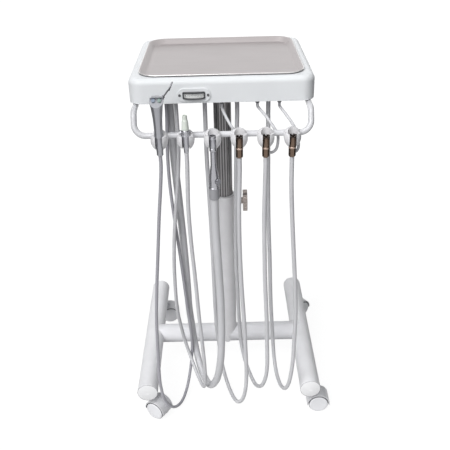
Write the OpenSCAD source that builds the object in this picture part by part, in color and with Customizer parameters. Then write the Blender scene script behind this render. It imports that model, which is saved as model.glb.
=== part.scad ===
// Portable dental unit: a four-caster H-shaped tube base, a telescoping post with
// a clamping knob, a white control head with an instrument tray and a pressure
// gauge, and a bent bar with six handpiece holders under the head's front edge.
//
// All sizes are millimetres. +X is the right of someone facing the holders,
// -Y is the front with the holders, +Z is up and Z = 0 is the floor.
// The origin is on the floor, in the middle of the rigid outline.

/* [Base] */
// Outer diameter of the leg, cross and column tubes
tube_od = 50.8; // [44:0.2:56]
// Wall of the base tubes
tube_wall = 2; // [1.5:0.1:3]
// Distance between the two leg tubes
leg_spacing = 410; // [380:5:460]
// Front end of the legs, measured from the post
leg_front = 237; // [225:1:280]
// Rear end of the legs, measured from the post
leg_rear = 228; // [215:1:280]
// Thickness of the dome on each leg cap
cap_dome = 3; // [2:0.5:5]
// Depth of the plug inside each leg cap
cap_plug = 12; // [8:1:20]
// Height of the column's upper rim above the floor
column_top = 530; // [500:5:560]

/* [Casters] */
// Wheel diameter
wheel_d = 50; // [46:1:54]
// Width of each of the two wheels of a caster
wheel_w = 17; // [14:0.5:20]
// Overall height of a caster
caster_h = 69.1; // [67:0.1:76]
// Distance from the swivel axis to the axle
caster_trail = 26; // [24:0.5:28]
// Thickness of the web between the wheels
web_t = 8; // [6:0.5:12]
// Radial gap between wheel and hood
hood_gap = 1.5; // [1:0.1:3]
// Wall of the hood
hood_wall = 2.5; // [2:0.1:4]
// Stem diameter
stem_d = 11; // [9:0.5:12]
// Axle diameter
axle_d = 6; // [5:0.5:8]
// Stem distance from each leg end
stem_inset = 37; // [32:1:50]
// Swivel of the front left caster
yaw_fl = -32; // [-180:1:180]
// Swivel of the front right caster
yaw_fr = 0; // [-180:1:180]
// Swivel of the rear left caster
yaw_rl = 6; // [-180:1:180]
// Swivel of the rear right caster
yaw_rr = 35; // [-180:1:180]

/* [Post] */
// Outer diameter of the sliding mast
mast_od = 42; // [38:0.5:43]
// Wall of the mast
mast_wall = 2.5; // [2:0.1:4]
// Number of flutes round the mast
flute_count = 20; // [8:1:28]
// Radius of each flute
flute_r = 2; // [1:0.1:2.5]
// Depth of each flute
flute_depth = 0.8; // [0.3:0.1:1]
// Depth of the guide bush inside the column
bush_depth = 46; // [40:1:70]
// Thickness of the bush's lip
bush_lip = 2.5; // [1.5:0.5:5]
// Drop from the column rim to the clamping screw
clamp_drop = 19; // [14:1:25]
// Outer diameter of the clamp boss
boss_od = 18.5; // [14:0.5:22]
// Length of the clamp boss beyond the column
boss_len = 12; // [8:1:20]
// Diameter of the clamping knob
knob_d = 54; // [40:1:60]
// Thickness of the clamping knob
knob_t = 11; // [8:0.5:16]
// Number of grip notches round the knob
knob_notches = 18; // [8:1:24]
// Diameter of the clamping stud
stud_d = 8; // [6:0.5:10]

/* [Head] */
// Width of the head
head_w = 384; // [374:2:420]
// Depth of the head
head_d = 348; // [340:2:380]
// Height of the head's housing
head_h = 51; // [46:1:60]
// Height of the head's underside above the floor
head_z = 825; // [820:1:860]
// Front face of the head, measured from the post
head_front = 172; // [166:1:180]
// Corner radius of the head, seen from above
head_corner = 28; // [20:1:40]
// Rounding of the head's upper edge
head_edge = 12; // [6:1:16]
// Wall of the housing
shell_wall = 3.2; // [2:0.1:5]
// Thickness of the base plate
plate_t = 2.5; // [2:0.1:4]
// Diameter of the mast flange
flange_d = 88; // [76:1:110]
// Thickness of the mast flange
flange_t = 4; // [3:0.5:6]
// Diameter of the screws of the head
screw_d = 5; // [4:0.5:6]

/* [Tray] */
// Outer width of the tray's rim
tray_w = 346; // [310:1:348]
// Outer depth of the tray's rim
tray_d = 320; // [290:1:322]
// Corner radius of the tray's rim
tray_corner = 40; // [30:1:50]
// Width of the rim's flange
rim_w = 4.5; // [3:0.5:7]
// Thickness of the rim
rim_t = 3; // [2:0.1:4]
// Height of the tray
tray_h = 12.5; // [10:0.5:18]
// Sheet thickness of the tray
tray_t = 1.2; // [0.8:0.1:2]
// How far the tray's wall leans in
tray_lean = 8; // [4:0.5:12]
// Depth of the recess that holds the tray
recess_h = 8; // [5:0.5:9]

/* [Gauge] */
// Width of the gauge's bezel
gauge_w = 46; // [40:1:54]
// Height of the gauge's bezel
gauge_h = 14.5; // [13:0.5:18]
// Gauge centre left of the post
gauge_left = 57; // [40:1:80]
// Gauge centre above the head's underside
gauge_up = 17.5; // [16:0.5:21]
// Radius of the gauge's curved face
gauge_r = 50; // [45:1:70]
// Angle of the needle from straight ahead when there is no pressure
needle_rest = 21; // [5:1:21]

/* [Holders] */
// Diameter of the holder bar
bar_d = 12.7; // [10:0.1:14]
// Distance from the head's sides to the middle of the bar's arms
bar_inset = 12; // [11:0.5:17]
// Bar in front of the post
bar_front = 216; // [212:1:220]
// Height of the bar above the floor
bar_z = 773; // [768:1:778]
// Bend radius of the bar's corners
bar_bend = 24; // [20:1:30]
// Distance between neighbouring holders
holder_pitch = 53.6; // [48:0.2:56]
// Shift of the holders to the right
holder_shift = 6; // [-4:1:8]
// Outer diameter of a holder
holder_od = 35; // [34:0.5:38]
// Height of a holder
holder_h = 28; // [26:1:32]
// Width of a holder's slot
slot_w = 14.5; // [11:0.5:15]
// Tool axis in front of the bar
tool_reach = 20; // [19:0.5:21]

/* [Tools] */
// Height of the syringe's head above its holder
syringe_rise = 80; // [70:1:95]
// Body diameter of a handpiece connector
connector_d = 15; // [13:0.5:16]
// Length of a handpiece connector
connector_len = 45; // [40:1:50]
// Radius of the syringe's grip
grip_r = 7.6; // [6.6:0.2:8]
// Diameter of the syringe's head
syringe_head_d = 28; // [24:0.5:29]
// Diameter of the syringe's buttons
button_d = 7.6; // [6:0.2:8]
// Travel of the syringe's buttons
button_travel = 2; // [1:0.5:3]
// Diameter of the syringe's tip
tip_d = 3.2; // [2.4:0.2:4]
// Inner diameter of the suction valve's nose
hve_bore = 11; // [9:0.2:11]
// Inner diameter of the ejector's tip
ejector_bore = 6.4; // [5:0.2:7]

/* [Hoses] */
// Outer diameter of the syringe's hose
syringe_hose_d = 7.6; // [6:0.2:9]
// Outer diameter of the saliva ejector's hose
ejector_hose_d = 8.8; // [7:0.2:10]
// Outer diameter of the suction hose
hve_hose_d = 18; // [15:0.5:19]
// Outer diameter of a handpiece hose
tool_hose_d = 9.6; // [8:0.2:11]
// Outer diameter of the signal tubes
signal_d = 6; // [4:0.2:6]

/* [Hidden] */
$fn = 64;

// Clearances
run_gap = 0.05;   // radial, shaft in its bearing
seat_gap = 0.3;   // between parts that only come close
cut = 1;          // how far a cutter runs past the face it opens

// Base
tube_r = tube_od / 2;
tube_bore = tube_r - tube_wall;
leg_x = leg_spacing / 2;
leg_z = caster_h + tube_r;
stem_y = [-leg_front + stem_inset, leg_rear - stem_inset];

// Casters, in the order front left, front right, rear left, rear right
wheel_r = wheel_d / 2;
hood_in = wheel_r + hood_gap;
hood_r = hood_in + hood_wall;
wheel_gap = 0.5;
hood_w = web_t + 2 * wheel_gap + 2 * wheel_w - 3;
stem_r = stem_d / 2;
axle_r = axle_d / 2;
socket_r = stem_r + 2.5;
stem_flange_t = 3;
stem_flange_r = stem_r + 3.5;
stem_seat = 22;
leg_boss_h = 4.8;
stem_low = wheel_r + stem_seat;
stem_top = leg_z - 4;
hood_top = caster_h - leg_boss_h - stem_flange_t - seat_gap;
yaws = [yaw_fl, yaw_fr, yaw_rl, yaw_rr];
caster_x = [-leg_x, leg_x, -leg_x, leg_x];
caster_y = [stem_y[0], stem_y[0], stem_y[1], stem_y[1]];

// How far a caster reaches from its stem along a direction at angle a
function caster_reach(yaw, a) =
    caster_trail * cos(yaw - a) + hood_r * abs(cos(yaw - a))
    + hood_w / 2 * abs(sin(yaw - a));

// Reach of the rigid outline from the post, right, left, rear and front
reach_right = max(leg_x + tube_r,
    leg_x + caster_reach(yaw_fr, 0), leg_x + caster_reach(yaw_rr, 0));
reach_left = max(leg_x + tube_r,
    leg_x + caster_reach(yaw_fl, 180), leg_x + caster_reach(yaw_rl, 180));
reach_rear = max(leg_rear + cap_dome,
    stem_y[1] + caster_reach(yaw_rl, 90), stem_y[1] + caster_reach(yaw_rr, 90));
holder_front = bar_front + tool_reach - 2 + holder_od / 2;
hve_hose_r = hve_hose_d / 2;
hve_swell_r = hve_hose_r + 1.6;
hve_disc_r = 6.2;
hve_disc_t = 3.5;
lever_drop = 3;
hve_spool_turn = -40;
lever_front = bar_front + tool_reach
    - (hve_swell_r + seat_gap + hve_disc_t) * sin(hve_spool_turn)
    + (hve_disc_r + lever_drop) * cos(hve_spool_turn);
reach_front = max(leg_front + cap_dome, holder_front, lever_front,
    -stem_y[0] + caster_reach(yaw_fl, -90), -stem_y[0] + caster_reach(yaw_fr, -90));
post_x = (reach_left - reach_right) / 2;
post_y = (reach_front - reach_rear) / 2;

// Post
mast_r = mast_od / 2;
mast_bore = mast_r - mast_wall;
foot_z = leg_z + tube_r + seat_gap;
foot_h = 12;
foot_spigot = 20;
mast_low = foot_z + foot_h;
flange_z = head_z - flange_t;
clamp_z = column_top - clamp_drop;
stud_r = stud_d / 2;
boss_end = tube_r + boss_len;
knob_hub_r = boss_od / 2 - 1;
knob_x = boss_end + 9;
flange_bolt_r = (mast_r + flange_d / 2) / 2 + 1;
bolt_count = 4;
tongue_w = 17;
tongue_drop = 17;

// Head
head_mid = head_d / 2 - head_front;
head_top = head_z + head_h;
cavity_top = head_top - recess_h - 6;
plate_gap = 0.3;
post_inset = head_corner - 4;
post_r = 6;
gland_h = 12;
nipple_h = 9;
inlet_x = 70;
inlet_y = head_mid + head_d / 2 - 56;
inlet_r = 6.5;
inlet_h = 16;
screw_hole_h = 22;
block_size = [120, 44, 26];
block_front = 42;
port_pitch = 20;
port_r = 3.2;
port_deep = 18;
port_up = 10;
well_r = 5;
well_pitch = 60;
well_up = 12;

// Tray
tray_bottom = head_top - recess_h;
tray_rim_top = tray_bottom + tray_h;
recess_gap = 1;

// Gauge, whose needle swings about an upright pin behind its curved dial
gauge_x = -gauge_left;
gauge_z = head_z + gauge_up;
pad_t = 2.5;
pad_y = -head_front - pad_t;
pad_half_h = gauge_h / 2 + 6.5;
frame_lip = 2;
frame_t = 1.6;
frame_side = 2.5;
lens_t = 0.8;
lens_inset = 0.5;
window_w = gauge_w - 2 * frame_side;
window_h = gauge_h - 2 * frame_side;
gauge_hole_w = gauge_w - 3;
gauge_hole_h = gauge_h - 2;
pivot_y = pad_y - frame_lip + sqrt(gauge_r * gauge_r - gauge_w * gauge_w / 4);
dial_r = gauge_r - frame_t - 1.6;
dial_low = gauge_z - window_h / 2 - 1;
dial_top = gauge_z + window_h / 2 + 0.15;
needle_t = 0.7;
needle_z = dial_top + seat_gap;
needle_pin_r = 0.8;
needle_hub_r = 2;
housing_y = -head_front + shell_wall;
housing_wall = 1.5;
housing_low = dial_low - housing_wall;
housing_top = needle_z + 3.5;
dial_back = housing_y + 8;
gauge_screw_x = gauge_w / 2 + 6;
gauge_screw_r = 1.3;

// Holder bar: arms under the head, a knee down and two corners
bar_w = head_w - 2 * bar_inset;
bar_r = bar_d / 2;
arm_z = head_z - 8;
arm_back = 60;
arm_knee = 195;
knee_bend = 18;
bar_slope = atan2(arm_z - bar_z, bar_front - arm_knee);
knee_reach = knee_bend * tan(bar_slope / 2);
slope_len = norm([bar_front - arm_knee, arm_z - bar_z]) - knee_reach;
bend_step = 0.05;
bend_lap = 0.8;
socket_back = 50;
socket_front = 100;
socket_w = 2 * (bar_inset - shell_wall - plate_gap);

// Holders and the tools in them
tool_y = -bar_front - tool_reach;
holder_top = bar_z + 7;
holder_low = holder_top - holder_h;
holder_r = holder_od / 2;
holder_curve = 24;
holder_waist = 18;
ball_y = -bar_front - 9;
ball_z = bar_z - 1.5;
lever_room = 13;
function holder_x(i) = holder_shift + (i - 2.5) * holder_pitch;
bore_gap = 0.3;
seat_r = grip_r + 1.8;
ejector_neck_r = seat_r - 1.3;
seat_z = holder_top - 3;
connector_r = connector_d / 2;
collar_r = connector_r + 2;
collar_h = 6;
connector_top = holder_top - 5;
connector_low = connector_top - connector_len;
collar_z = connector_top - collar_h;
connector_socket_r = connector_r - 2;
socket_depth = 6;
hve_nose_r = hve_bore / 2 + 1.4;
hve_seat_r = hve_nose_r + 2.2;
hve_seat_z = holder_top - 9;
hve_top = holder_top - 2;
cuff_r = hve_hose_r + 1.8;
hve_low = 638;
hve_spool_z = 680;
cuff_h = 24;
ejector_low = 743;
ejector_hose_r = ejector_hose_d / 2;
ejector_r = 7.8;
ejector_nose_r = ejector_bore / 2 + 1;
ejector_body_top = holder_top + 12;
ejector_tip_top = ejector_body_top + 30;
ejector_spool_z = holder_top + 6.5;
spool_r = 2.5;
syringe_low = 737;
syringe_top = holder_top + syringe_rise;
syringe_hose_r = syringe_hose_d / 2;
syringe_head_r = syringe_head_d / 2;
facet_tilt = 40;
facet_z = syringe_top - 7;
button_r = button_d / 2;
button_x = 6;
button_out = 2.6;
tip_r = tip_d / 2;
tip_turn = 57;
tip_tilt = 63;
tip_bend = 20;
tip_base = [12, 8, syringe_top - 4];
tip_straight = 31;
tip_end = 15;

// Hose routes: each runs from its gland under the head, down, round the loop
// and up to the foot of its tool. Round numbers, measured from the post.
route_syringe = [
    [-120, -116, 813], [-120, -116, 780], [-124, -116, 700], [-124, -116, 620],
    [-119, -116, 530], [-112, -116, 440], [-106, -116, 350], [-101, -115, 270],
    [-96, -112, 210], [-95, -105, 160], [-97, -102, 110], [-103, -112, 60],
    [-113, -145, 22], [-127, -186, 11], [-145, -222, 30], [-163, -237, 70],
    [-170, -238, 115], [-171, -237, 165], [-169, -236, 240], [-166, -236, 320],
    [-159, -236, 410], [-150, -236, 500], [-140.5, -236, 595], [-132, -236, 670],
    [-128.2, -236, 712], [-128, -236, 737]
];
route_ejector = [
    [-98, -128, 813], [-98, -128, 780], [-98, -128, 710], [-104, -128, 630],
    [-113, -128, 555], [-121, -128, 480], [-126, -128, 400], [-127, -128, 320],
    [-126, -123, 265], [-122, -113, 215], [-115, -105, 160], [-105, -108, 117],
    [-92, -127, 85], [-77, -162, 67], [-66, -194, 72], [-60, -220, 105],
    [-58, -234, 150], [-59, -238, 200], [-62, -237, 260], [-66, -236, 330],
    [-70, -236, 430], [-75, -236, 530], [-77, -236, 615], [-75.4, -236, 680],
    [-74.4, -236, 717], [-74.4, -236, 743]
];
route_hve = [
    [-114, -98, 813], [-114, -98, 770], [-112, -98, 680], [-107, -98, 570],
    [-102, -98, 450], [-99, -98, 340], [-98, -97, 260], [-95, -90, 205],
    [-91, -85, 146], [-83, -98, 95], [-71, -130, 67], [-55, -175, 66],
    [-42, -206, 89], [-28, -230, 135], [-19, -238, 195], [-15, -238, 260],
    [-14, -236, 330], [-15, -236, 400], [-18, -236, 490], [-20.4, -236, 565],
    [-20.8, -236, 606], [-20.8, -236, 638]
];
route_tool_1 = [
    [-37, -120, 813], [-37, -120, 780], [-37, -120, 680], [-34, -120, 560],
    [-32, -120, 460], [-31, -120, 370], [-30, -119, 275], [-28, -112, 200],
    [-24, -102, 140], [-20, -101, 90], [-12, -114, 46], [1, -145, 17],
    [16, -187, 15], [30, -220, 43], [40, -237, 90], [44, -238, 150],
    [42, -237, 240], [39, -236, 320], [34, -236, 420], [31, -236, 520],
    [30.5, -236, 600], [32, -236, 665], [32.8, -236, 703], [32.8, -236, 730]
];
route_tool_2 = [
    [32, -120, 813], [32, -120, 780], [29, -120, 690], [27, -120, 600],
    [25, -120, 500], [25, -120, 400], [28, -120, 305], [30, -113, 240],
    [33, -104, 180], [36, -104, 135], [44, -118, 95], [56, -146, 70],
    [69, -184, 66], [81, -214, 87], [90, -233, 125], [95, -238, 175],
    [94, -237, 250], [92, -236, 330], [88, -236, 420], [86, -236, 500],
    [84.6, -236, 590], [85.6, -236, 660], [86.4, -236, 702], [86.4, -236, 730]
];
route_tool_3 = [
    [99, -120, 813], [99, -120, 780], [100, -120, 690], [101, -120, 600],
    [103, -120, 510], [107, -120, 410], [110, -120, 310], [114, -112, 235],
    [118, -101, 175], [121, -99, 126], [124, -112, 85], [129, -143, 59],
    [136, -181, 57], [144, -213, 77], [151, -234, 118], [157, -238, 180],
    [159, -237, 250], [160, -236, 320], [157, -236, 400], [151, -236, 490],
    [145, -236, 580], [141, -236, 655], [140, -236, 702], [140, -236, 730]
];
// Signal tubes: from a nipple under the head, behind the bar and up to the
// nipple under a holder
signal_routes = [
    [[-1, -150, 816], [-1, -150, 812], [-1, -150, 808], [6, -180, 800],
     [16, -199, 786], [25, -200, 772], [32, -203, 757], [36, -210, 744],
     [36.5, -217, 738], [35.8, -223, 741], [35.8, -223, 745], [35.8, -223, 749]],
    [[74, -150, 816], [74, -150, 812], [74, -150, 808], [89, -183, 798],
     [104, -199, 780], [113, -202, 763], [113, -208, 748], [109, -215, 737],
     [101, -219, 732], [93, -222, 734], [89.4, -223, 741], [89.4, -223, 745],
     [89.4, -223, 749]],
    [[120, -150, 816], [120, -150, 812], [120, -150, 808], [131, -183, 800],
     [144, -199, 784], [153, -201, 766], [155.5, -207, 751], [155, -214, 739],
     [150, -219, 733], [144.5, -222, 735], [143, -223, 741], [143, -223, 745],
     [143, -223, 749]]
];
nipple_x = 3;
nipple_y = -223;
nipple_low = 749;

// ---------------------------------------------------------------- helpers

// Everything is drawn round the post and then moved to the outline's middle
module at_post() {
    translate([post_x, post_y, 0]) children();
}

// Flat rectangle with round corners, centred
module round_rect(w, d, r) {
    square([w - 2 * r, d], center = true);
    square([w, d - 2 * r], center = true);
    for (sx = [-1, 1], sy = [-1, 1])
        translate([sx * (w / 2 - r), sy * (d / 2 - r)]) circle(r);
}

// Slab with round corners between two heights, centred on the head
module slab(w, d, r, z0, z1) {
    translate([0, head_mid, z0]) linear_extrude(z1 - z0) round_rect(w, d, r);
}

// Slab whose walls lean: w0 x d0 with corner r0 at z0, growing to width w1 at z1
module leaning_slab(w0, d0, r0, w1, z0, z1) {
    h = z1 - z0;
    lean = (w1 - w0) / 2;
    cx = w0 / 2 - r0;
    cy = d0 / 2 - r0;
    side = [[0, 0], [r0, 0], [r0 + lean, h], [0, h]];
    translate([0, head_mid, z0]) {
        linear_extrude(h) square([2 * cx, 2 * cy], center = true);
        for (sx = [-1, 1], sy = [-1, 1])
            translate([sx * cx, sy * cy, 0]) cylinder(h = h, r1 = r0, r2 = r0 + lean);
        for (turn = [0, 180]) rotate([0, 0, turn]) {
            translate([cx, 0, 0]) rotate([90, 0, 0])
                linear_extrude(2 * cy, center = true) polygon(side);
            rotate([0, 0, 90]) translate([cy, 0, 0]) rotate([90, 0, 0])
                linear_extrude(2 * cx, center = true) polygon(side);
        }
    }
}

// Cylinder along X from x0 to x1
module rod_x(x0, x1, r) {
    translate([x0, 0, 0]) rotate([0, 90, 0]) cylinder(h = x1 - x0, r = r);
}

// Cylinder along Y from y0 to y1
module rod_y(y0, y1, r) {
    translate([0, y0, 0]) rotate([-90, 0, 0]) cylinder(h = y1 - y0, r = r);
}

// Catmull-Rom point between p1 and p2
function blend(p0, p1, p2, p3, t) =
    0.5 * (2 * p1 + (p2 - p0) * t + (2 * p0 - 5 * p1 + 4 * p2 - p3) * t * t
    + (3 * p1 - p0 - 3 * p2 + p3) * t * t * t);

function route_point(p, i) =
    i < 0 ? 2 * p[0] - p[1]
    : i > len(p) - 1 ? 2 * p[len(p) - 1] - p[len(p) - 2]
    : p[i];

// Points along a route, close to one step apart
function route_samples(p, step) = [
    for (i = [0:len(p) - 2])
        let (n = max(1, round(norm(p[i + 1] - p[i]) / step)))
        for (k = [0:n - 1])
            blend(route_point(p, i - 1), p[i], p[i + 1], route_point(p, i + 2), k / n),
    p[len(p) - 1]
];

function unit(v) = v / norm(v);

function tangents(s) = [
    for (i = [0:len(s) - 1])
        unit(s[min(i + 1, len(s) - 1)] - s[max(i - 1, 0)])
];

// One side vector per ring, carried along so that the tube doesn't twist
function side_vectors(t, first) = [
    for (i = 0, n = unit(first - (first * t[0]) * t[0]);
         i < len(t);
         i = i + 1,
         n = i < len(t) ? unit(n - (n * t[i]) * t[i]) : n)
        n
];

// Tube swept along a route as one closed surface
module swept_tube(route, d, step, sides, first) {
    s = route_samples(route, step);
    t = tangents(s);
    n = side_vectors(t, first);
    rings = len(s);
    points = [
        for (i = [0:rings - 1], k = [0:sides - 1])
            let (a = 360 * k / sides)
            s[i] + d / 2 * (cos(a) * n[i] + sin(a) * cross(t[i], n[i]))
    ];
    faces = [
        [for (k = [0:sides - 1]) sides - 1 - k],
        for (i = [0:rings - 2], k = [0:sides - 1])
            let (a = i * sides + k, b = i * sides + (k + 1) % sides)
            each [[a, b, b + sides], [a, b + sides, a + sides]],
        [for (k = [0:sides - 1]) (rings - 1) * sides + k]
    ];
    // faces run clockwise when seen from outside
    polyhedron(points, [for (f = faces) [for (k = [len(f) - 1:-1:0]) f[k]]]);
}

// ------------------------------------------------------------------- base

// One leg tube with the two nuts for the caster stems
module leg(side) {
    at_post() color("gainsboro") difference() {
        union() {
            translate([side * leg_x, 0, leg_z]) rod_y(-leg_front, leg_rear, tube_r);
            for (y = stem_y)
                translate([side * leg_x, y, caster_h - leg_boss_h])
                    cylinder(h = tube_r + leg_boss_h, r = stem_r + 5.5);
        }
        translate([side * leg_x, 0, leg_z])
            rod_y(-leg_front - cut, leg_rear + cut, tube_bore);
        for (y = stem_y)
            translate([side * leg_x, y, 0]) cylinder(h = leg_z, r = stem_r);
    }
}

module leg_left() { leg(-1); }

module leg_right() { leg(1); }

// Cross tube between the legs, coped to fit round them
module cross_tube() {
    at_post() color("gainsboro") difference() {
        translate([0, 0, leg_z]) rod_x(-leg_x, leg_x, tube_r);
        translate([0, 0, leg_z]) rod_x(-leg_x - cut, leg_x + cut, tube_bore);
        for (side = [-1, 1])
            translate([side * leg_x, 0, leg_z]) rod_y(-tube_od, tube_od, tube_r);
    }
}

// Outer tube of the post, coped over the cross tube, with a tongue in front of it
module column_tube() {
    at_post() color("silver") difference() {
        union() {
            translate([0, 0, leg_z + 2]) cylinder(h = column_top - leg_z - 2, r = tube_r);
            intersection() {
                difference() {
                    translate([0, 0, leg_z - tube_r]) cylinder(h = tube_od, r = tube_r + 0.5);
                    translate([0, 0, leg_z - tube_od]) cylinder(h = 2 * tube_od, r = tube_r - 1);
                }
                translate([0, 0, leg_z]) rotate([90, 0, 0]) linear_extrude(tube_od) {
                    translate([-tongue_w / 2, -tongue_drop + tongue_w / 2])
                        square([tongue_w, tongue_drop]);
                    translate([0, -tongue_drop + tongue_w / 2]) circle(tongue_w / 2);
                }
            }
        }
        translate([0, 0, leg_z]) cylinder(h = column_top - leg_z + cut, r = tube_bore);
        translate([0, 0, leg_z]) rod_x(-tube_od, tube_od, tube_r);
        translate([0, 0, clamp_z]) rod_x(0, tube_od, stud_r + 0.4);
    }
}

// Domed plug in each open end of the legs
module leg_cap() {
    rotate_extrude() {
        dome_r = (tube_r * tube_r + cap_dome * cap_dome) / (2 * cap_dome);
        square([tube_bore, cap_plug]);
        intersection() {
            translate([0, -cap_dome]) square([tube_r, cap_dome]);
            translate([0, dome_r - cap_dome]) circle(dome_r, $fn = 256);
        }
    }
}

module leg_caps() {
    at_post() color("whitesmoke") for (side = [-1, 1]) {
        translate([side * leg_x, -leg_front, leg_z]) rotate([-90, 0, 0]) leg_cap();
        translate([side * leg_x, leg_rear, leg_z]) rotate([90, 0, 0]) leg_cap();
    }
}

// Plastic bush that guides the mast in the column's mouth
module guide_bush() {
    at_post() color("lightgray") difference() {
        union() {
            translate([0, 0, column_top - bush_depth])
                cylinder(h = bush_depth, r = tube_bore);
            translate([0, 0, column_top]) cylinder(h = bush_lip, r = tube_r);
        }
        translate([0, 0, column_top - bush_depth - cut])
            cylinder(h = bush_depth + bush_lip + 2 * cut, r = mast_r + run_gap);
        translate([0, 0, clamp_z]) rod_x(0, tube_od, stud_r + 0.4);
    }
}

// Threaded boss welded to the column for the clamping stud
module clamp_boss() {
    at_post() color("silver") difference() {
        translate([0, 0, clamp_z]) rod_x(0, boss_end, boss_od / 2);
        translate([0, 0, clamp_z - boss_od]) cylinder(h = 2 * boss_od, r = tube_r);
        translate([0, 0, clamp_z]) rod_x(0, boss_end + cut, stud_r + run_gap);
    }
}

// Steel stems screwed into the legs, one per caster
module caster_stems() {
    at_post() color("silver") for (i = [0:3])
        translate([caster_x[i], caster_y[i], 0]) {
            translate([0, 0, stem_low]) cylinder(h = stem_top - stem_low, r = stem_r);
            translate([0, 0, hood_top + seat_gap])
                cylinder(h = stem_flange_t, r = stem_flange_r);
        }
}

// Round knob with its stud, which presses on the mast
module clamp_screw() {
    at_post() translate([0, 0, clamp_z]) color("rosybrown") difference() {
        union() {
            rod_x(mast_r + seat_gap, knob_x + 1, stud_r);
            rod_x(boss_end + seat_gap, knob_x + 1, knob_hub_r);
            rod_x(knob_x, knob_x + knob_t, knob_d / 2);
        }
        for (k = [0:knob_notches - 1])
            rotate([360 * k / knob_notches, 0, 0])
                translate([knob_x - cut, 0, knob_d / 2 + 1.2])
                    rotate([0, 90, 0]) cylinder(h = knob_t + 2 * cut, r = 2.4, $fn = 32);
        translate([knob_x + knob_t - 1.5, 0, 0]) rod_x(0, 1.5 + cut, knob_d / 2 - 8);
    }
}

// ---------------------------------------------------------------- casters

// Moves a caster's piece, drawn round its stem with the wheels at +X
module at_caster(i) {
    at_post() translate([caster_x[i], caster_y[i], 0]) rotate([0, 0, yaws[i]])
        children();
}

// Hood: web between the wheels, arched fender over them and the stem socket
module hood(i) {
    at_caster(i) color("white") difference() {
        union() {
            translate([caster_trail, 0, wheel_r]) rotate([90, 0, 0]) {
                rotate([0, 0, -6]) rotate_extrude(angle = 192)
                    translate([hood_in, -hood_w / 2]) square([hood_wall, hood_w]);
                intersection() {
                    translate([0, 0, -web_t / 2])
                        cylinder(h = web_t, r = hood_in + hood_wall / 2);
                    translate([-hood_r, -8, -web_t])
                        cube([2 * hood_r, hood_r + 8, 2 * web_t]);
                }
            }
            translate([0, -web_t / 2, wheel_r + 5])
                cube([caster_trail, web_t, hood_top - wheel_r - 8]);
            translate([0, 0, stem_low - 2])
                cylinder(h = hood_top - stem_low + 2, r = socket_r);
        }
        translate([0, 0, stem_low - seat_gap])
            cylinder(h = hood_top, r = stem_r + run_gap);
        translate([caster_trail, 0, wheel_r])
            rod_y(-hood_w, hood_w, axle_r + run_gap);
    }
}

// Two wheels on their axle
module wheel_pair(i) {
    half = web_t / 2 + wheel_gap;
    at_caster(i) translate([caster_trail, 0, wheel_r]) color("gainsboro") {
        rod_y(-half - wheel_w / 2, half + wheel_w / 2, axle_r);
        for (side = [-1, 1]) rotate([side * 90, 0, 0]) translate([0, 0, half])
            rotate_extrude() polygon([
                [0, 0], [wheel_r - 1, 0], [wheel_r, 1], [wheel_r, wheel_w - 3],
                [wheel_r - 1.5, wheel_w - 1], [wheel_r - 5, wheel_w], [0, wheel_w]
            ]);
    }
}

module hood_fl() { hood(0); }

module hood_fr() { hood(1); }

module hood_rl() { hood(2); }

module hood_rr() { hood(3); }

module wheels_fl() { wheel_pair(0); }

module wheels_fr() { wheel_pair(1); }

module wheels_rl() { wheel_pair(2); }

module wheels_rr() { wheel_pair(3); }

// ------------------------------------------------------------------- post

// Fluted inner tube that slides in the column
module mast_tube() {
    at_post() color("darkgray") difference() {
        translate([0, 0, mast_low]) cylinder(h = flange_z - mast_low, r = mast_r);
        translate([0, 0, mast_low - cut])
            cylinder(h = flange_z - mast_low + 2 * cut, r = mast_bore);
        for (k = [0:flute_count - 1])
            rotate([0, 0, 360 * (k + 0.5) / flute_count])
                translate([mast_r + flute_r - flute_depth, 0, mast_low - cut])
                    cylinder(h = flange_z - mast_low + 2 * cut, r = flute_r, $fn = 24);
    }
}

// Guide plug on the mast's lower end
module mast_foot() {
    at_post() color("dimgray") {
        translate([0, 0, foot_z]) cylinder(h = foot_h, r = tube_bore - run_gap);
        translate([0, 0, foot_z]) cylinder(h = foot_h + foot_spigot, r = mast_bore);
    }
}

// Round flange that carries the head on the mast
module mast_flange() {
    at_post() color("silver") difference() {
        translate([0, 0, flange_z]) cylinder(h = flange_t, r = flange_d / 2);
        flange_holes(screw_d / 2 + 0.2);
        translate([0, 0, flange_z - cut]) cylinder(h = flange_t + 2 * cut, r = mast_bore - 4);
    }
}

module flange_holes(r) {
    for (k = [0:bolt_count - 1])
        rotate([0, 0, 45 + 360 * k / bolt_count])
            translate([flange_bolt_r, 0, flange_z - cut])
                cylinder(h = flange_t + plate_t + 2 * cut, r = r);
}

// ------------------------------------------------------------------- head

// Places children at the four screws that join base plate and housing
module at_head_posts() {
    for (sx = [-1, 1], sy = [-1, 1])
        translate([sx * (head_w / 2 - post_inset), head_mid + sy * (head_d / 2 - post_inset), 0])
            children();
}

// Steel plate that closes the head below and carries everything under it
module head_base() {
    inset = 2 * (shell_wall + plate_gap);
    at_post() color("lightgray") difference() {
        slab(head_w - inset, head_d - inset, head_corner - shell_wall - plate_gap,
            head_z, head_z + plate_t);
        flange_holes(screw_d / 2 + 0.2);
        translate([0, 0, head_z - cut]) cylinder(h = plate_t + 2 * cut, r = mast_bore - 4);
        translate([inlet_x, inlet_y, head_z - cut])
            cylinder(h = plate_t + 2 * cut, r = inlet_r + 1);
        at_head_posts() translate([0, 0, head_z - cut])
            cylinder(h = plate_t + 2 * cut, r = screw_d / 2 + 0.2);
    }
}

// Half section of a slab's edge: r wide, h high, upper outer corner rounded by e
module edge_profile(r, e, h) {
    intersection() {
        union() {
            square([r, h - e]);
            square([r - e, h]);
            translate([r - e, h - e]) circle(e);
        }
        square([r, h]);
    }
}

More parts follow.
